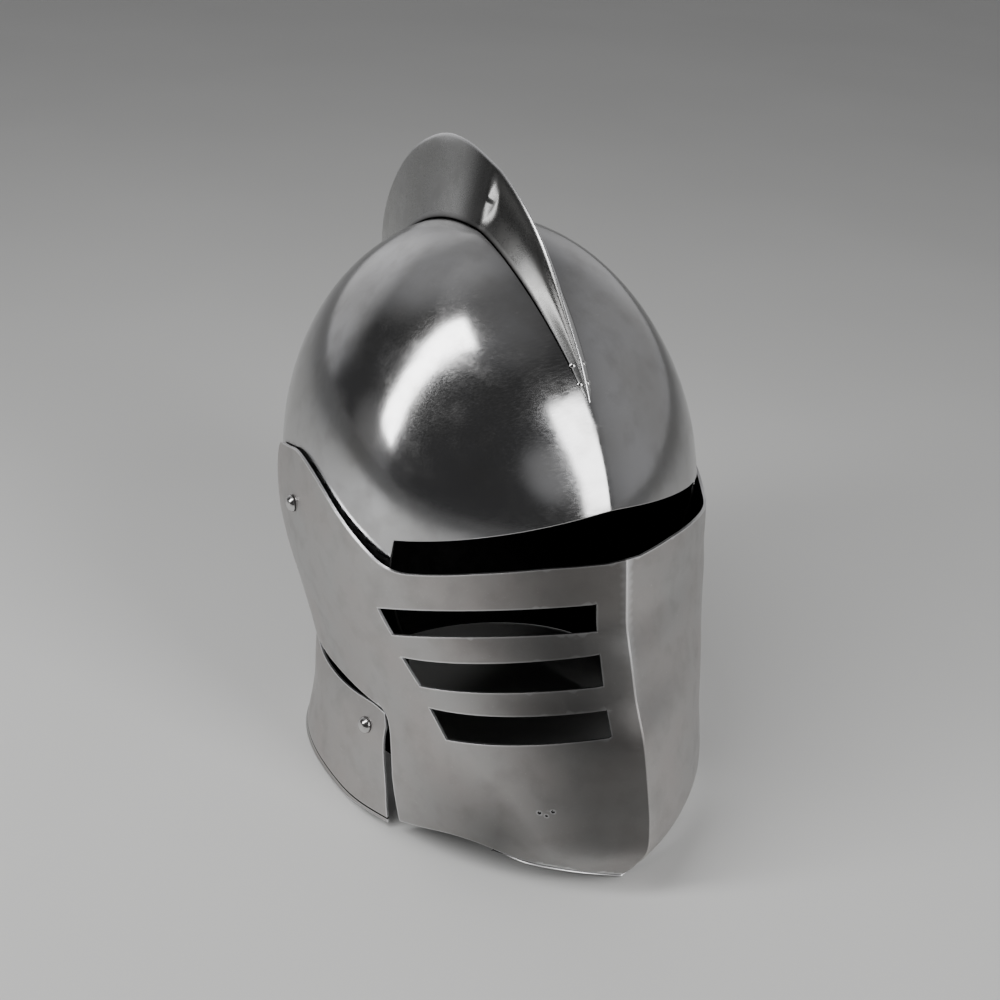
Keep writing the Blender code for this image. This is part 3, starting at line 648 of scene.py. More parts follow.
def covered(points):
    """How far each point of the skull lies under the face plate or the neck plate, which sets the painted
    shade there.
    """
    upper, rim = face_outline(FACET)
    plate = upper + rim
    flat = np.array([(p.y, p.z) for p in points])
    values = []
    for point, hidden, distance in zip(points, inside_loop(flat, plate), loop_distance(flat, [plate])):
        depth = distance if hidden else -distance
        if point.y > NOTCH_TOP[0]:
            depth = max(depth, neck_top(point.y) - point.z)
        values.append(ramp(depth, *UNDER_PLATE_SHADE_DEPTHS))
    return values


def cut_corners(corners, step):
    """Path through corners (length, height, rounding), with rounded bends and even steps."""
    path = []
    for i, (y, z, rounding) in enumerate(corners):
        here = Vector((y, z))
        if rounding == 0 or i in (0, len(corners) - 1):
            path.append(here)
            continue
        before = (Vector(corners[i - 1][:2]) - here).normalized() * rounding
        after = (Vector(corners[i + 1][:2]) - here).normalized() * rounding
        for k in range(BEND_STEPS + 1):
            share = k / BEND_STEPS
            path.append(here + before * (1 - share) ** 2 + after * share**2)
    walked = [path[0]]
    for start, end in zip(path, path[1:]):
        walked += straight(start, end, step) + [end]
    return walked


def seam_height(y):
    """Height of the seam between the face plate and the neck plate, midway in their gap."""
    radius = HEEL_RADIUS + SEAM / 2
    low = PIVOT_Z - radius
    if y < PIVOT_Y:
        return low + SEAM_RISE * ((PIVOT_Y - y) / (PIVOT_Y - NOTCH_TOP[0])) ** SEAM_POWER
    return PIVOT_Z - math.sqrt(radius**2 - min(LOBE_HEEL, y - PIVOT_Y) ** 2)


def lower_edge(along):
    """Height of the face plate's lower edge, from its rear corner (0) to the ridge (1)."""
    return LOWER_ARCH_HEIGHT * blend(LOWER_EDGE_ROWS, along)[0]


def face_outline(step):
    """Side outline of the face plate: from the top of the ridge round to the rim, then the rim."""
    ridge_y = SKULL_CENTRE - face_section(FACE_HEIGHT).front
    slit = [
        (ridge_y + (SLIT_EDGE_BEND[0] - ridge_y) * along, FACE_HEIGHT * height, 0)
        for along, height in SLIT_EDGE_ROWS
    ]
    heel = PIVOT_Y + LOBE_HEEL
    pieces = round((heel - NOTCH_TOP[0]) / (2 * step))
    lengths = [heel - (heel - NOTCH_TOP[0]) * k / pieces for k in range(pieces)]
    seam = [(y, seam_height(y) + SEAM / 2, 0) for y in lengths]
    lobe = [SLIT_EDGE_BEND, LOBE_FRONT, LOBE_TIP, LOBE_SHOULDER, LOBE_BACK]
    upper = cut_corners(slit + lobe + seam + [NOTCH_TOP, (PLATE_FOOT_Y, lower_edge(0), 0)], step)
    first = turn_at(face_section(lower_edge(0)), PLATE_FOOT_Y)
    pieces = round(first * FACE_HALF_WIDTH / step)
    rim = []
    for k in range(1, pieces + 1):
        z = lower_edge(k / pieces)
        rim.append(section_point(face_section(z), first * (1 - k / pieces), z).yz)
    return upper, rim


def on_blank(place):
    """Flat blank's point for a side view's point (length, height)."""
    return Vector((turn_at(face_section(place.y), place.x) * FACE_HALF_WIDTH, place.y))


def slot_loop(row, step):
    """Outline of a breathing slot on the blank."""
    height, opening, upper, lower, fall, lower_fall, bow = row
    top = FACE_HEIGHT * height
    front = SKULL_CENTRE - face_section(top).front
    beyond = SLOT_SETBACK / SLOT_LENGTH

    def edge(length, low, drop):
        places = []
        pieces = round(SLOT_LENGTH * length / step)
        for k in range(pieces + 1):
            share = k / pieces * (1 + beyond) - beyond
            arch = 4 * SLOT_BOW * bow * share * (1 - share)
            z = top - low - SLOT_DROP * drop * share + arch
            first = turn_at_width(face_section(z), SLOT_SETBACK, z) * FACE_HALF_WIDTH
            place = on_blank(Vector((front + SLOT_LENGTH * length * share, z)))
            if place.x > first + step / 3:
                places.append(place)
            else:
                places = [Vector((first, z))]
        return places

    above = edge(upper, 0, fall)
    below = edge(lower, SLOT_OPENING * opening, lower_fall)
    rear = straight(above[-1], below[-1], step)
    near = straight(below[0], above[0], step)
    return above + rear + below[::-1] + near


def straight(start, end, step):
    """Points strictly between two points, at even steps."""
    pieces = max(1, round((end - start).length / step))
    return [start.lerp(end, k / pieces) for k in range(1, pieces)]


def round_loop(centre, radius, sides):
    """Round hole on the blank."""
    turns = [2 * math.pi * k / sides for k in range(sides)]
    return [centre + Vector((math.cos(t), math.sin(t))) * radius for t in turns]


def table(points):
    return np.array([tuple(p) for p in points])


def inside_loop(points, loop):
    """Which of the flat points lie inside a closed loop."""
    a = table(loop)
    b = np.roll(a, -1, axis=0)
    odd = np.zeros(len(points), bool)
    for (ax, ay), (bx, by) in zip(a, b):
        if ay == by:
            continue
        crosses = (ay > points[:, 1]) != (by > points[:, 1])
        reach = ax + (points[:, 1] - ay) / (by - ay) * (bx - ax)
        odd ^= crosses & (points[:, 0] < reach)
    return odd


def pierced(points, outline, holes):
    """Which of the flat points lie inside an outline and in none of its holes."""
    kept = inside_loop(points, outline)
    for hole in holes:
        kept &= ~inside_loop(points, hole)
    return kept


def loop_distance(points, loops):
    """Distance of each flat point from the nearest of some closed loops."""
    best = np.full(len(points), np.inf)
    for start, end in [pair for loop in loops for pair in zip(loop, loop[1:] + loop[:1])]:
        a = np.array(tuple(start))
        run = np.array(tuple(end)) - a
        size = float(run @ run)
        if size == 0:
            continue
        share = np.clip((points - a) @ run / size, 0, 1)
        away = points - a - share[:, None] * run
        best = np.minimum(best, np.hypot(away[:, 0], away[:, 1]))
    return best


def fill_blank(outline, holes, extra, facet):
    """Triangles that fill a flat outline with even facets, round its holes."""
    height = facet * math.sqrt(3) / 2
    low = min(p.y for p in outline)
    rows = int((max(p.y for p in outline) - low) / height) + 1
    columns = int(max(p.x for p in outline) / facet) + 2
    lattice = np.array([
        ((column + 0.5 * (row % 2)) * facet, low + row * height)
        for row in range(1, rows)
        for column in range(columns)
    ])
    keep = pierced(lattice, outline, holes)
    keep &= loop_distance(lattice, [outline] + holes) > facet / 2
    spots = table(extra)
    apart = lattice[:, None, :] - spots[None, :, :]
    keep &= np.hypot(apart[..., 0], apart[..., 1]).min(axis=1) > facet / 2
    points = []
    edges = []
    for loop in [outline] + holes:
        first = len(points)
        points += loop
        edges += [(first + i, first + (i + 1) % len(loop)) for i in range(len(loop))]
    points += extra + [Vector(p) for p in lattice[keep]]
    flat, _, triangles, *_ = delaunay_2d_cdt(points, edges, [], 0, CLOSE)
    middles = table(sum((flat[i] for i in t), Vector((0, 0))) / 3 for t in triangles)
    return flat, [t for t, good in zip(triangles, pierced(middles, outline, holes)) if good]


def to_the_right(normal):
    """Direction of a normal, pointed towards the wearer's right."""
    return -normal.normalized() if normal.x > 0 else normal.normalized()


def outward(section_of, y, z):
    """Outward direction of a surface on the wearer's right."""

    def point(a, b):
        return Vector((-side_width(section_of, a, b), a, b))

    along = point(y + PROBE, z) - point(y - PROBE, z)
    up = point(y, z + PROBE) - point(y, z - PROBE)
    return to_the_right(along.cross(up))


def inner_row(loop, reach, towards):
    """Points at one distance from a closed loop, on one side of it."""
    row = []
    for before, here, after in zip(loop[-1:] + loop[:-1], loop, loop[1:] + loop[:1]):
        run = after - before
        if run.length > WELD:
            row.append(here + Vector((-run.y, run.x)).normalized() * towards * reach)
    return row


def loop_turn(loop):
    """1 for a loop that runs anticlockwise, else -1."""
    area = sum(a.x * b.y - b.x * a.y for a, b in zip(loop, loop[1:] + loop[:1]))
    return 1 if area > 0 else -1


def face_half(holes):
    """Vertices, faces, edge values (wear and painted highlight) and painted dark reflection of the face
    plate's half on the wearer's right.
    """
    upper, rim = face_outline(OUTLINE_STEP)
    outline = [on_blank(place) for place in upper + rim]
    outline[0].x = 0
    outline[-1].x = 0
    ridge = round((outline[0].y - outline[-1].y) / FACET)
    loop = outline + [outline[-1].lerp(outline[0], k / ridge) for k in range(1, ridge)]
    band = inner_row(outline, EDGE_BAND, loop_turn(loop))[1:-1]
    for hole in holes:
        band += inner_row(hole, EDGE_BAND, -loop_turn(hole))
    spots = table(band)
    clear = pierced(spots, loop, holes)
    clear &= loop_distance(spots, [outline] + holes) > 0.8 * EDGE_BAND
    clear &= spots[:, 0] > EDGE_BAND / 2
    extra = [Vector(p) for p in spots[clear]]
    flat, triangles = fill_blank(loop, holes, extra, FACET)
    # Wear and painted highlight in a band along the plate's edges and round its holes
    reach = loop_distance(table(flat), [outline[:-1]] + holes)
    vertices = []
    tarnish = []
    for place in flat:
        turn = max(0.0, place.x / FACE_HALF_WIDTH)
        vertices.append(section_point(face_section(place.y), turn, place.y))
        # Painted dark reflection beside the ridge, weaker at the chin, and a low patch of it further back
        low = DARK_REFLECTION_CHIN + (1 - DARK_REFLECTION_CHIN) * ramp(place.y, *DARK_REFLECTION_HEIGHTS)
        beside = low * (1 - ramp(turn, *DARK_REFLECTION_TURNS))
        behind = 1 - 2 * abs(turn - DARK_REFLECTION_LOW_TURN)
        below = DARK_REFLECTION_LOW * ramp(place.y, *DARK_REFLECTION_LOW_HEIGHTS) * behind
        tarnish.append(max(beside, below, 0.0))
    return vertices, [list(t)[::-1] for t in triangles], list(np.clip(1 - reach / EDGE_BAND, 0, 1)), tarnish


def make_face_plate(outside, inside):
    """Both halves of the face plate, joined at the ridge, the right one pierced by the slots."""
    pivot = round_loop(on_blank(Vector((PIVOT_Y, PIVOT_Z))), RIVET_SHANK + GAP, HOLE_SIDES)
    slots = [slot_loop(row, SLOT_STEP) for row in SLOT_ROWS]
    small = [round_loop(on_blank(Vector(p)), r, SMALL_HOLE_SIDES) for p, r in SMALL_HOLES]
    right, right_faces, right_highlight_and_wear, right_tarnish = face_half([pivot] + slots + small)
    left, left_faces, left_highlight_and_wear, left_tarnish = face_half([pivot])
    size = len(right)
    vertices = right + [Vector((-v.x, v.y, v.z)) for v in left]
    faces = right_faces + [[i + size for i in reversed(face)] for face in left_faces]
    plate = mesh_object("face_shell", vertices, faces)
    paint(plate, bright=right_highlight_and_wear + left_highlight_and_wear, tarnish=right_tarnish + left_tarnish)
    face_outwards(plate, (0, SKULL_CENTRE, SKULL_LEVEL / 2))
    add_shell(plate, outside, inside, angle=FACE_EDGE_ANGLE)
    return plate


def make_face_lip(outside, inside):
    """Thin turned lip under the front of the face plate's lower edge."""
    first = turn_at(face_section(lower_edge(0)), PLATE_FOOT_Y)
    vertices = []
    grime = []
    bright = []
    for k in range(LIP_COLUMNS + 1):
        along = LIP_START + (1 - LIP_START) * k / LIP_COLUMNS
        grown = ramp(along, LIP_START, LIP_START + LIP_RAMP)
        turn = first * (1 - along)
        # Painted shade in the lip's groove and painted highlight along its edge
        for drop, push, dark_line, shine in LIP_ROWS:
            z = max(LIP_WALL / 2, lower_edge(along) - drop * (grown if drop > 0 else 1))
            section = face_section(z)
            point = section_point(section, turn, z)
            ahead = section_point(section, turn + LIP_PROBE, z)
            level = Vector((point.y - ahead.y, ahead.x - point.x, 0)).normalized()
            if level.dot(point - Vector((0, SKULL_CENTRE, z))) < 0:
                level = -level
            if k == LIP_COLUMNS:
                level = Vector((0, -1, 0))
            point += level * (push if push < 0 else push * grown)
            vertices.append(point)
            grime.append(dark_line)
            bright.append(shine)
    lip = mirrored_object("face_lip", vertices, grid_faces(LIP_COLUMNS + 1, len(LIP_ROWS)))
    paint(lip, grime=grime * 2, bright=bright * 2)
    face_outwards(lip, (0, SKULL_CENTRE, LOWER_ARCH_HEIGHT))
    add_shell(lip, outside, inside, thickness=LIP_WALL, edge_round=LIP_WALL / 5)
    return lip


def neck_top(y):
    """Height of the neck plate's upper edge at a length."""
    if y < PIVOT_Y:
        return seam_height(y) - SEAM / 2
    share = (y - PIVOT_Y) / NECK_REAR
    top = seam_height(PIVOT_Y) - SEAM / 2
    return top + (NECK_REAR_HEIGHT - top) * min(1.0, share) ** 2


def neck_rows(top):
    """Heights of the neck plate's points, with the painted shade and the painted highlight at each."""
    low = RIM_GROOVE - RIM_GROOVE_HALF
    high = RIM_GROOVE + RIM_GROOVE_HALF
    # Painted highlight on the turned rim, the groove's edges and the top edge, and painted shade in the
    # groove
    rows = [
        (RIM_FOOT + (RIM_TURN - RIM_FOOT) * share, 0.0, max(0.0, 1 - 4 * share))
        for share in (0, 0.1, 0.25, 0.45, 0.7, 0.95)
    ]
    rows += [(low - 0.0002, 0.0, 0.9), (low, 1.0, 0.0), (high, 1.0, 0.0), (high + 0.0004, 0.0, 0.3)]
    start = high + 0.0012
    end = top - EDGE_BAND
    rows += [(start + (end - start) * k / NECK_LEVELS, 0.0, 0.0) for k in range(NECK_LEVELS + 1)]
    rows.append((top, 0.0, 1.0))
    return rows


def neck_flush(y, z):
    """How far the neck plate stands out beside the face plate."""
    along = ramp(y, NECK_FLUSH_REAR, NECK_FLUSH_FRONT)
    return NECK_FLUSH * along * ramp(z, 0.0, NECK_HEIGHT * NECK_FLUSH_TOP)


def make_neck_plate(outside, inside):
    """Flared plate in columns from its front edge to the middle of the back."""
    vertices = []
    grime = []
    bright = []
    side = EDGE_BAND / (math.pi * NECK_HALF_WIDTH * (1 - NECK_FIRST_TURN))
    shares = [0, side] + [max(side * 1.5, k / NECK_COLUMNS) for k in range(1, NECK_COLUMNS + 1)]
    height = len(neck_rows(NECK_HEIGHT))
    for along in shares:
        corner = max(0.0, 1 - along / NECK_CORNER_SHARE)
        guess = math.pi * (NECK_FIRST_TURN + (1 - NECK_FIRST_TURN) * along)
        for row in range(height):
            y = section_point(neck_section(0), guess, 0).y
            for _ in range(FIT_PASSES):
                top = neck_top(y) - NECK_OPENING - NECK_CORNER * corner**2
                z, dark_line, shine = neck_rows(top)[row]
                z += RIM_LIFT * max(0.0, 1 - RIM_LIFT_FADE * z / top) * ramp(along, RIM_LIFT_SHARE, 0.0)
                upper = max(0.0, z / top - NECK_CORNER_LEVEL) / (1 - NECK_CORNER_LEVEL)
                edge = NECK_FRONT_FOOT + (NECK_FRONT_TOP - NECK_FRONT_FOOT) * z / NECK_HEIGHT
                edge += NECK_CORNER * upper * corner
                section = neck_section(z)
                first = turn_at(section, edge)
                point = section_point(section, first + (math.pi - first) * along, z)
                y = point.y
            point.x -= neck_flush(y, z)
            vertices.append(point)
            grime.append(dark_line)
            # Painted highlight along the front edge
            bright.append(max(shine, 1.0 if along == 0 else 0.0))
    plate = mirrored_object("neck_shell", vertices, grid_faces(len(shares), height))
    paint(plate, grime=grime * 2, bright=bright * 2)
    face_outwards(plate, (0, 0, NECK_HEIGHT / 2))
    add_shell(plate, outside, inside)
    return plate


def skull_reach(angle, x):
    """Distance from the skull's centre to its outer face, in the plane at a width."""

    def inside(reach):
        y = SKULL_CENTRE + reach * math.cos(angle)
        z = SKULL_LEVEL + reach * math.sin(angle)
        section = skull_section(z)
        between = section.centre - section.front < y < section.centre + section.rear
        return between and side_width(skull_section, y, z) > x

    return bisect(SKULL_HALF_WIDTH / 2, 2 * SKULL_HALF_WIDTH, inside)


def flank_rise(step):
    """Share of the comb's height at a step up its side."""
    return math.sin(math.pi / 2 * max(0, step) / COMB_STEPS)


def crease_share(rise):
    """Share of the comb's length at which its crease lies, at a share of its height."""
    return CREASE_FOOT + (CREASE_TOP - CREASE_FOOT) * rise


def comb_ring(share):
    """Ring of the comb's outline across its length, at a share of that length."""
    angle = COMB_FRONT_ANGLE + (COMB_REAR_ANGLE - COMB_FRONT_ANGLE) * share
    height, base, crest = blend(COMB_ROWS, share)
    height = COMB_HEIGHT * height
    base = COMB_BASE * base
    crest = COMB_CREST * crest
    gap = COMB_GAP * (2 * min(1.0, share / COMB_SINK_END) - 1)
    foot = base + crest
    top = skull_reach(angle, 0) + gap + height
    start = skull_reach(angle, foot) + gap
    half = []
    for k in range(COMB_STEPS + 1):
        rise = flank_rise(k)
        crease = crease_share(rise)
        behind = ramp(share, crease - CREASE_HALF, crease + CREASE_HALF)
        hollow = FLANK_FRONT + (FLANK_REAR - FLANK_FRONT) * behind
        width = crest * math.sqrt(1 - rise**COMB_CREST_POWER) + base * (1 - rise) ** hollow
        half.append((width, start + (top - start) * rise))
    half[-1] = (0, top)
    seat = [(w, skull_reach(angle, abs(w)) + gap) for w in (foot / 2, 0, -foot / 2)]
    ring = [(-w, r) for w, r in half] + [(w, r) for w, r in reversed(half[:-1])] + seat
    return [
        Vector((w, SKULL_CENTRE + r * math.cos(angle), SKULL_LEVEL + r * math.sin(angle)))
        for w, r in ring
    ]


def make_comb(outside):
    """Folded fin on the middle line of the skull."""
    rings = [comb_ring(i / COMB_SECTIONS) for i in range(COMB_SECTIONS + 1)]
    size = len(rings[0])
    vertices = [point for ring in rings for point in ring]
    faces = tube_faces(len(rings), size)
    faces.append(list(range(size))[::-1])
    faces.append([(len(rings) - 1) * size + k for k in range(size)])
    comb = mesh_object("comb_fin", vertices, faces)
    last = 2 * COMB_STEPS
    # Painted highlight along the crest, and a dark line along the foot where the comb meets the skull
    shine = [1.0 if abs(k - COMB_STEPS) < COMB_HIGHLIGHT_STEPS else 0.0 for k in range(size)]
    dark_line = [1.0 if k in (0, last) or k > last else 0.0 for k in range(size)]
    # Painted dark reflection on the front flank, held back along its foot
    shade = []
    for i in range(len(rings)):
        share = i / COMB_SECTIONS
        for k in range(size):
            rise = flank_rise(COMB_STEPS - abs(k - COMB_STEPS))
            crease = crease_share(rise)
            streak = COMB_STREAK * max(0.0, 1 - rise / COMB_STREAK_RISE)
            start = ramp(share - streak, *COMB_SHADE_START)
            shade.append(start * (1 - ramp(share, crease + COMB_SHADE_HOLD, crease + COMB_SHADE_FADE)))
    paint(comb, tarnish=shade, bright=shine * len(rings), grime=dark_line * len(rings))
    face_outwards(comb, (0, SKULL_CENTRE, SKULL_LEVEL + SKULL_CROWN))
    comb.data.materials.append(outside)
    comb.data.shade_smooth()
    comb.data.set_sharp_from_angle(angle=math.radians(COMB_EDGE_ANGLE))
    return comb


def make_rivet(name, place, axis, size, steel):
    """Domed rivet: head, shank and peened end, turned about its axis."""
    head, height, shank, length = size
    arc = [math.pi / 2 * k / RIVET_RINGS for k in range(RIVET_RINGS + 1)]
    profile = [(head * math.sin(a), height * math.cos(a)) for a in arc]
    peen = min(PEEN_HEIGHT, height)
    sunk = -RIVET_SINK * height
    profile += [(head * RIVET_UNDERCUT, sunk), (shank, sunk), (shank, -length)]
    profile += [(PEEN_WIDTH * shank, -length), (PEEN_TIP * shank, -length - peen), (0, -length - peen)]
    vertices = [Vector((0, 0, profile[0][1]))]
    for x, z in profile[1:-1]:
        for k in range(RIVET_SIDES):
            turn = 2 * math.pi * k / RIVET_SIDES
            vertices.append(Vector((x * math.cos(turn), x * math.sin(turn), z)))
    vertices.append(Vector((0, 0, profile[-1][1])))
    end = len(vertices) - 1
    faces = [face[::-1] for face in tube_faces(len(profile) - 2, RIVET_SIDES, 1)]
    last = end - RIVET_SIDES
    for k in range(RIVET_SIDES):
        after = (k + 1) % RIVET_SIDES
        faces += [[0, 1 + k, 1 + after], [end, last + after, last + k]]
    frame_of_axis = Matrix.Translation(place) @ axis.to_track_quat("Z", "Y").to_matrix().to_4x4()
    rivet = mesh_object(name, [frame_of_axis @ v for v in vertices], faces)
    # Dark foot where the rivet meets the plate
    paint(rivet, grime=[1.0 if v.z < RIVET_DARK_FOOT * height else 0.0 for v in vertices])
    rivet.data.materials.append(steel)
    rivet.data.shade_smooth()
    rivet.data.set_sharp_from_angle(angle=math.radians(RIVET_EDGE_ANGLE))
    return rivet


def make_rivets(steel):
    """A rivet for each one in the solids, on both sides, with the node that it stands for."""
    seats = []
    for name, section_of, place, out, axis in (
        ("temple_rivet_", face_section, (PIVOT_Y, PIVOT_Z), GAP, Vector((-1, 0, 0))),
        ("neck_rivet_", neck_section, NECK_RIVET, neck_flush(*NECK_RIVET), None),
    ):
        axis = axis or outward(section_of, *place)
        width = side_width(section_of, *place) + out
        length = width - side_width(skull_section, *place) + WALL + GAP
        size = Rivet(RIVET_HEAD, RIVET_HEAD_HEIGHT, RIVET_SHANK, length)
        seats.append((name, Vector((-width, *place)), axis, size))
    seats.append(("comb_rivet_front_", *comb_flank(COMB_RIVET_FRONT), COMB_RIVET))
    seats.append(("comb_rivet_rear_", *comb_flank(COMB_RIVET_REAR), COMB_RIVET))
    rivets = []
    for name, place, axis, size in seats:
        for side, word in ((1, "right"), (-1, "left")):
            flip = Vector((side, 1, 1))
            node = name + word
            rivet = make_rivet(node.replace("rivet", "dome"), place * flip, axis * flip, size, steel)
            rivets.append((rivet, node))
    return rivets


def comb_flank(share):
    """Point low on the comb's side at a share of its length, and the outward direction there."""

    def point(along, rise):
        ring = comb_ring(along)
        position = rise * COMB_STEPS
        low = int(position)
        return ring[low].lerp(ring[low + 1], position - low)

    here = point(share, COMB_RIVET_RISE)
    ahead = point(share + PROBE_SHARE, COMB_RIVET_RISE)
    along = ahead - point(share - PROBE_SHARE, COMB_RIVET_RISE)
    up = point(share, 2 * COMB_RIVET_RISE) - here
    return here, to_the_right(along.cross(up))


class Graph:
    """Shader nodes of a material or of the sky, with their links."""

    def __init__(self, owner, shader):
        owner.use_nodes = True
        self.tree = owner.node_tree
        self.shader = self.tree.nodes[shader]

    def feed(self, node, feeds):
        """Sets a node's inputs, or links them to other nodes' outputs."""
        for name, value in feeds.items():
            socket = node.inputs[name]
            if isinstance(value, tuple):
                socket.default_value = (*value, 1)[: len(socket.default_value)]
            elif isinstance(value, (int, float)):
                socket.default_value = value
            else:
                self.tree.links.new(value, socket)

    def node(self, kind, feeds, **settings):
        node = self.tree.nodes.new("ShaderNode" + kind)
        fit(node, **settings)
        self.feed(node, feeds)
        return node

    def place(self, kind="Object"):
        return self.node("TexCoord", {}).outputs[kind]

    def noise(self, place, scale, detail, stretch=(1, 1, 1), turn=(0, 0, 0)):
        """Noise value in object coordinates, which are metres."""
        mapping = self.node("Mapping", {"Vector": place, "Scale": stretch, "Rotation": turn})
        feeds = {"Vector": mapping.outputs["Vector"], "Scale": scale, "Detail": detail}
        return self.node("TexNoise", feeds).outputs["Fac"]

    def spread(self, value, low, high, to_low=0.0, to_high=1.0, soft=False):
        """Value stretched from one range to another, and held within it."""
        feeds = {"Value": value, "From Min": low, "From Max": high, "To Min": to_low, "To Max": to_high}
        kind = "SMOOTHSTEP" if soft else "LINEAR"
        return self.node("MapRange", feeds, clamp=True, interpolation_type=kind).outputs["Result"]

    def mark(self, place, texture, *ends):
        """Noise spread from one range to another."""
        return self.spread(self.noise(place, *texture), *ends)

    def painted(self, name):
        """Value painted on the mesh, 0 where the mesh has none."""
        return self.node("Attribute", {}, attribute_name=name).outputs["Fac"]

    def work(self, operation, a, b):
        """Sum, product and the like of two values."""
        return self.node("Math", {0: a, 1: b}, operation=operation).outputs["Value"]

    def mix(self, factor, a, b):
        """Colour between two others."""
        node = self.node("Mix", {"Factor": factor}, data_type="RGBA")
        sockets = [i for i, socket in enumerate(node.inputs) if socket.type == "RGBA"]
        self.feed(node, dict(zip(sockets, (a, b))))
        return [socket for socket in node.outputs if socket.type == "RGBA"][0]

    def bump(self, height, distance, **feeds):
        feeds.update(Height=height, Distance=distance)
        return self.node("Bump", feeds).outputs["Normal"]


def new_material(name):
    material = bpy.data.materials.new(name)
    return material, Graph(material, "Principled BSDF")


def steel(name, look):
    """Worn steel with mottling, brush marks, scratches, edges lightened by wear and painted highlight,
    painted shade and dark joints, a painted dark reflection, and soft waves.
    """
    material, graph = new_material(name)
    place = graph.place()
    stain = graph.mark(place, *STAIN)
    brush = graph.noise(place, *BRUSH[0])
    scratch = graph.work("MAXIMUM", graph.spread(brush, *BRUSH[1:]), graph.mark(place, *CROSS))
    pointiness = graph.node("NewGeometry", {}).outputs["Pointiness"]
    # Edges lightened by wear and by painted highlight lines
    edge_wear_and_highlight = graph.work("MAXIMUM", graph.spread(pointiness, *EDGE_WEAR_AND_HIGHLIGHT), graph.painted("bright"))
    across = graph.node("SeparateXYZ", {"Vector": place}).outputs["X"]
    grime = graph.painted("grime")
    layers = (
        (graph.mark(place, *MOTTLE), 1.0, look.warm),
        (stain, STAIN_DEPTH, look.dark),
        (graph.mark(place, *SPECK), SPECK_DEPTH, look.dark),
        (scratch, SCRATCH_DEPTH, look.bare),
        # Wear and painted highlight, painted dark reflection, then painted shade and dark joints
        (edge_wear_and_highlight, EDGE_WEAR_AND_HIGHLIGHT_DEPTH, look.bare),
        (graph.painted("tarnish"), graph.spread(across, *DARK_REFLECTION_SIDE), DARK_REFLECTION_TONE),
        (grime, SHADE_AND_GRIME_DEPTH, SHADE_AND_GRIME_TONE),
    )
    colour = look.clean
    for mask, depth, tone in layers:
        colour = graph.mix(graph.work("MULTIPLY", mask, depth), colour, tone)
    rough = graph.spread(brush, 0.3, 0.7, look.roughness - 0.03, look.roughness + 0.03)
    for mask, depth in ((stain, 0.08), (grime, 0.35)):
        rough = graph.work("ADD", rough, graph.work("MULTIPLY", mask, depth))
    height = brush
    for mask, depth in ((graph.noise(place, *GRIT), 0.5), (scratch, -0.6)):
        height = graph.work("ADD", height, graph.work("MULTIPLY", mask, depth))
    waves = graph.bump(graph.noise(place, *SWELL), look.waviness)
    normal = graph.bump(height, look.grain, Strength=0.5, Normal=waves)
    graph.feed(graph.shader, {"Metallic": 1, "Base Color": colour, "Roughness": rough, "Normal": normal})
    return material


def shaded_inside(name):
    """Near-black inside of the plates: painted shade for the dark within the helmet, with a faint mottle.
    """
    material, graph = new_material(name)
    place = graph.place()
    colour = graph.mix(graph.mark(place, *INSIDE_TONE_NOISE), *INSIDE_SHADE_TONES)
    normal = graph.bump(graph.noise(place, *SCALED_BUMP), 0.0002)
    rough = graph.mark(place, *SCALED_ROUGH)
    graph.feed(graph.shader, {"Metallic": 0.4, "Base Color": colour, "Roughness": rough, "Normal": normal})
    return material


def direction(azimuth, height):
    """Unit vector at a turn from the front and a height, both in degrees."""
    turn = math.radians(azimuth)
    rise = math.radians(height)
    return Vector((math.sin(turn) * math.cos(rise), -math.cos(turn) * math.cos(rise), math.sin(rise)))


def stand(name, data, place, back, lean):
    """Camera or light at a place, turned away from a direction and leaned about it."""
    level = Vector((0, 0, 1)).cross(back).normalized()
    along = Matrix.Rotation(math.radians(lean), 3, back) @ level
    turned = Matrix((along, back.cross(along), back)).transposed().to_4x4()
    thing = bpy.data.objects.new(name, data)
    thing.matrix_world = Matrix.Translation(place) @ turned
    bpy.context.scene.collection.objects.link(thing)
    return thing


def make_camera():
    data = bpy.data.cameras.new("camera")
    data.lens = CAMERA_LENS
    back = direction(CAMERA_TURN, CAMERA_HEIGHT)
    bpy.context.scene.camera = stand("camera", data, CAMERA_PLACE, back, CAMERA_ROLL)


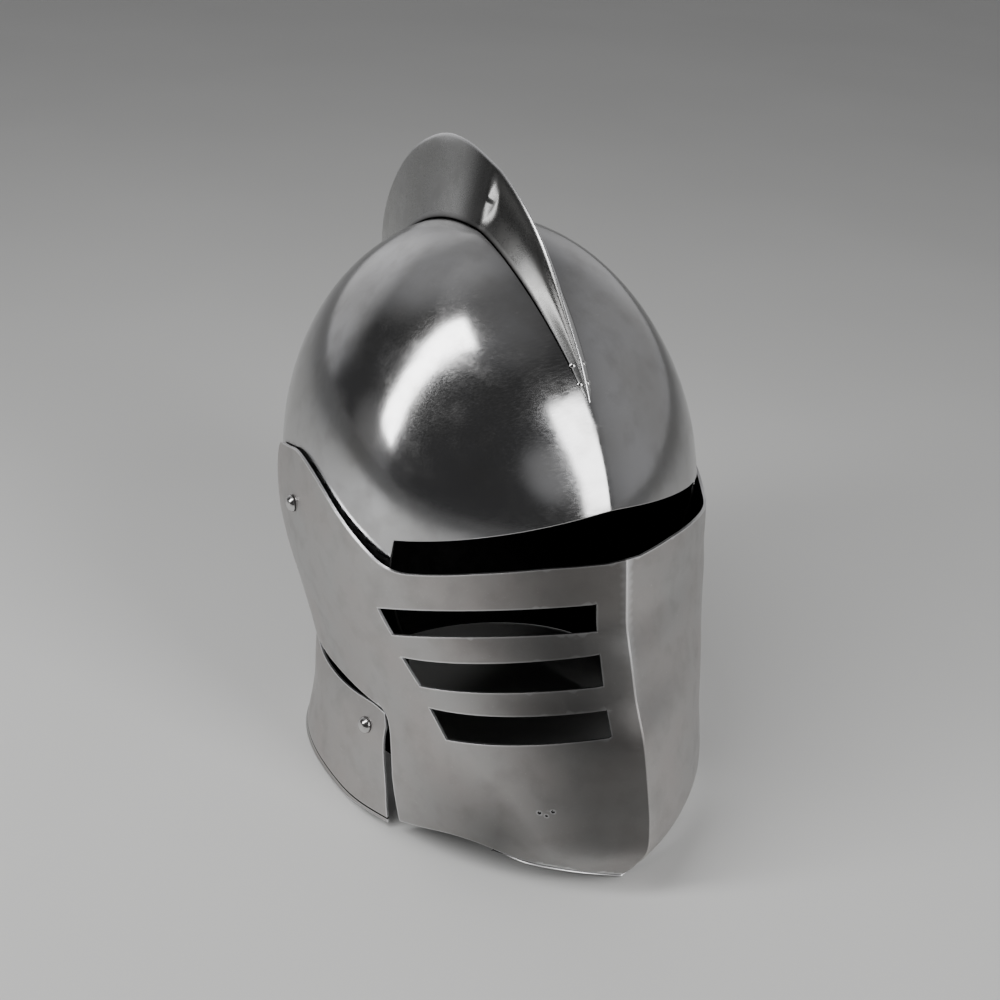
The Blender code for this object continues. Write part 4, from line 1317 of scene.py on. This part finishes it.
def make_strip(name, azimuth, height, distance, length, width, lean, radiance):
    """Long soft light that faces the helmet."""
    data = bpy.data.lights.new(name, "AREA")
    fit(data, shape="RECTANGLE", size=length, size_y=width, energy=math.pi * radiance * length * width)
    back = direction(azimuth, height)
    stand(name, data, LIGHT_TARGET + back * distance, back, lean).visible_camera = False


def make_sky():
    """Dark studio with soft glows round the helmet."""
    world = bpy.data.worlds.new("studio")
    bpy.context.scene.world = world
    graph = Graph(world, "Background")
    total = SKY_BASE
    for azimuth, height, inner, outer, radiance in SKY_GLOWS:
        feeds = {0: graph.place("Generated"), 1: tuple(direction(azimuth, height))}
        near = graph.node("VectorMath", feeds, operation="DOT_PRODUCT").outputs["Value"]
        low, high = (math.cos(math.radians(angle)) for angle in (outer, inner))
        total = graph.work("ADD", graph.spread(near, low, high, 0.0, radiance, soft=True), total)
    graph.feed(graph.shader, {"Color": SKY_TONE, "Strength": total})


def make_floor():
    side = (-FLOOR_REACH, FLOOR_REACH)
    corners = [(x, y, 0) for x in side for y in side]
    floor = mesh_object("floor", corners, [[0, 2, 3, 1]])
    material, graph = new_material("pale_floor")
    colour = graph.mix(graph.mark(graph.place(), *FLOOR_PATCH), *FLOOR_TONES)
    graph.feed(graph.shader, {"Base Color": colour, "Roughness": 0.65})
    floor.data.materials.append(material)


def main():
    dark = shaded_inside("black_inside")
    skull_steel = steel("polished_steel", POLISHED)
    face_steel = steel("satin_steel", SATIN)
    neck_steel = steel("neck_steel", SATIN)
    comb_steel = steel("comb_steel", FOLDED)
    rivet_steel = steel("rivet_steel", DOMED)
    pieces = (
        (make_skull(skull_steel, dark), "shell", "skull", "skull_steel"),
        (make_face_plate(face_steel, dark), "face", "face_plate", "face_steel"),
        (make_face_lip(face_steel, dark), "face", None, "face_steel"),
        (make_neck_plate(neck_steel, dark), "shell", "neck_plate", "neck_steel"),
        (make_comb(comb_steel), "shell", "comb", "comb_steel"),
    )
    for piece, body, node, slot in pieces:
        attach(piece, body)
        if node:
            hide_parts(node)
    for piece, node in make_rivets(rivet_steel):
        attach(piece, "shell")
        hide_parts(node)
    make_camera()
    make_floor()
    for strip in STRIPS:
        make_strip(*strip)
    make_sky()


main()
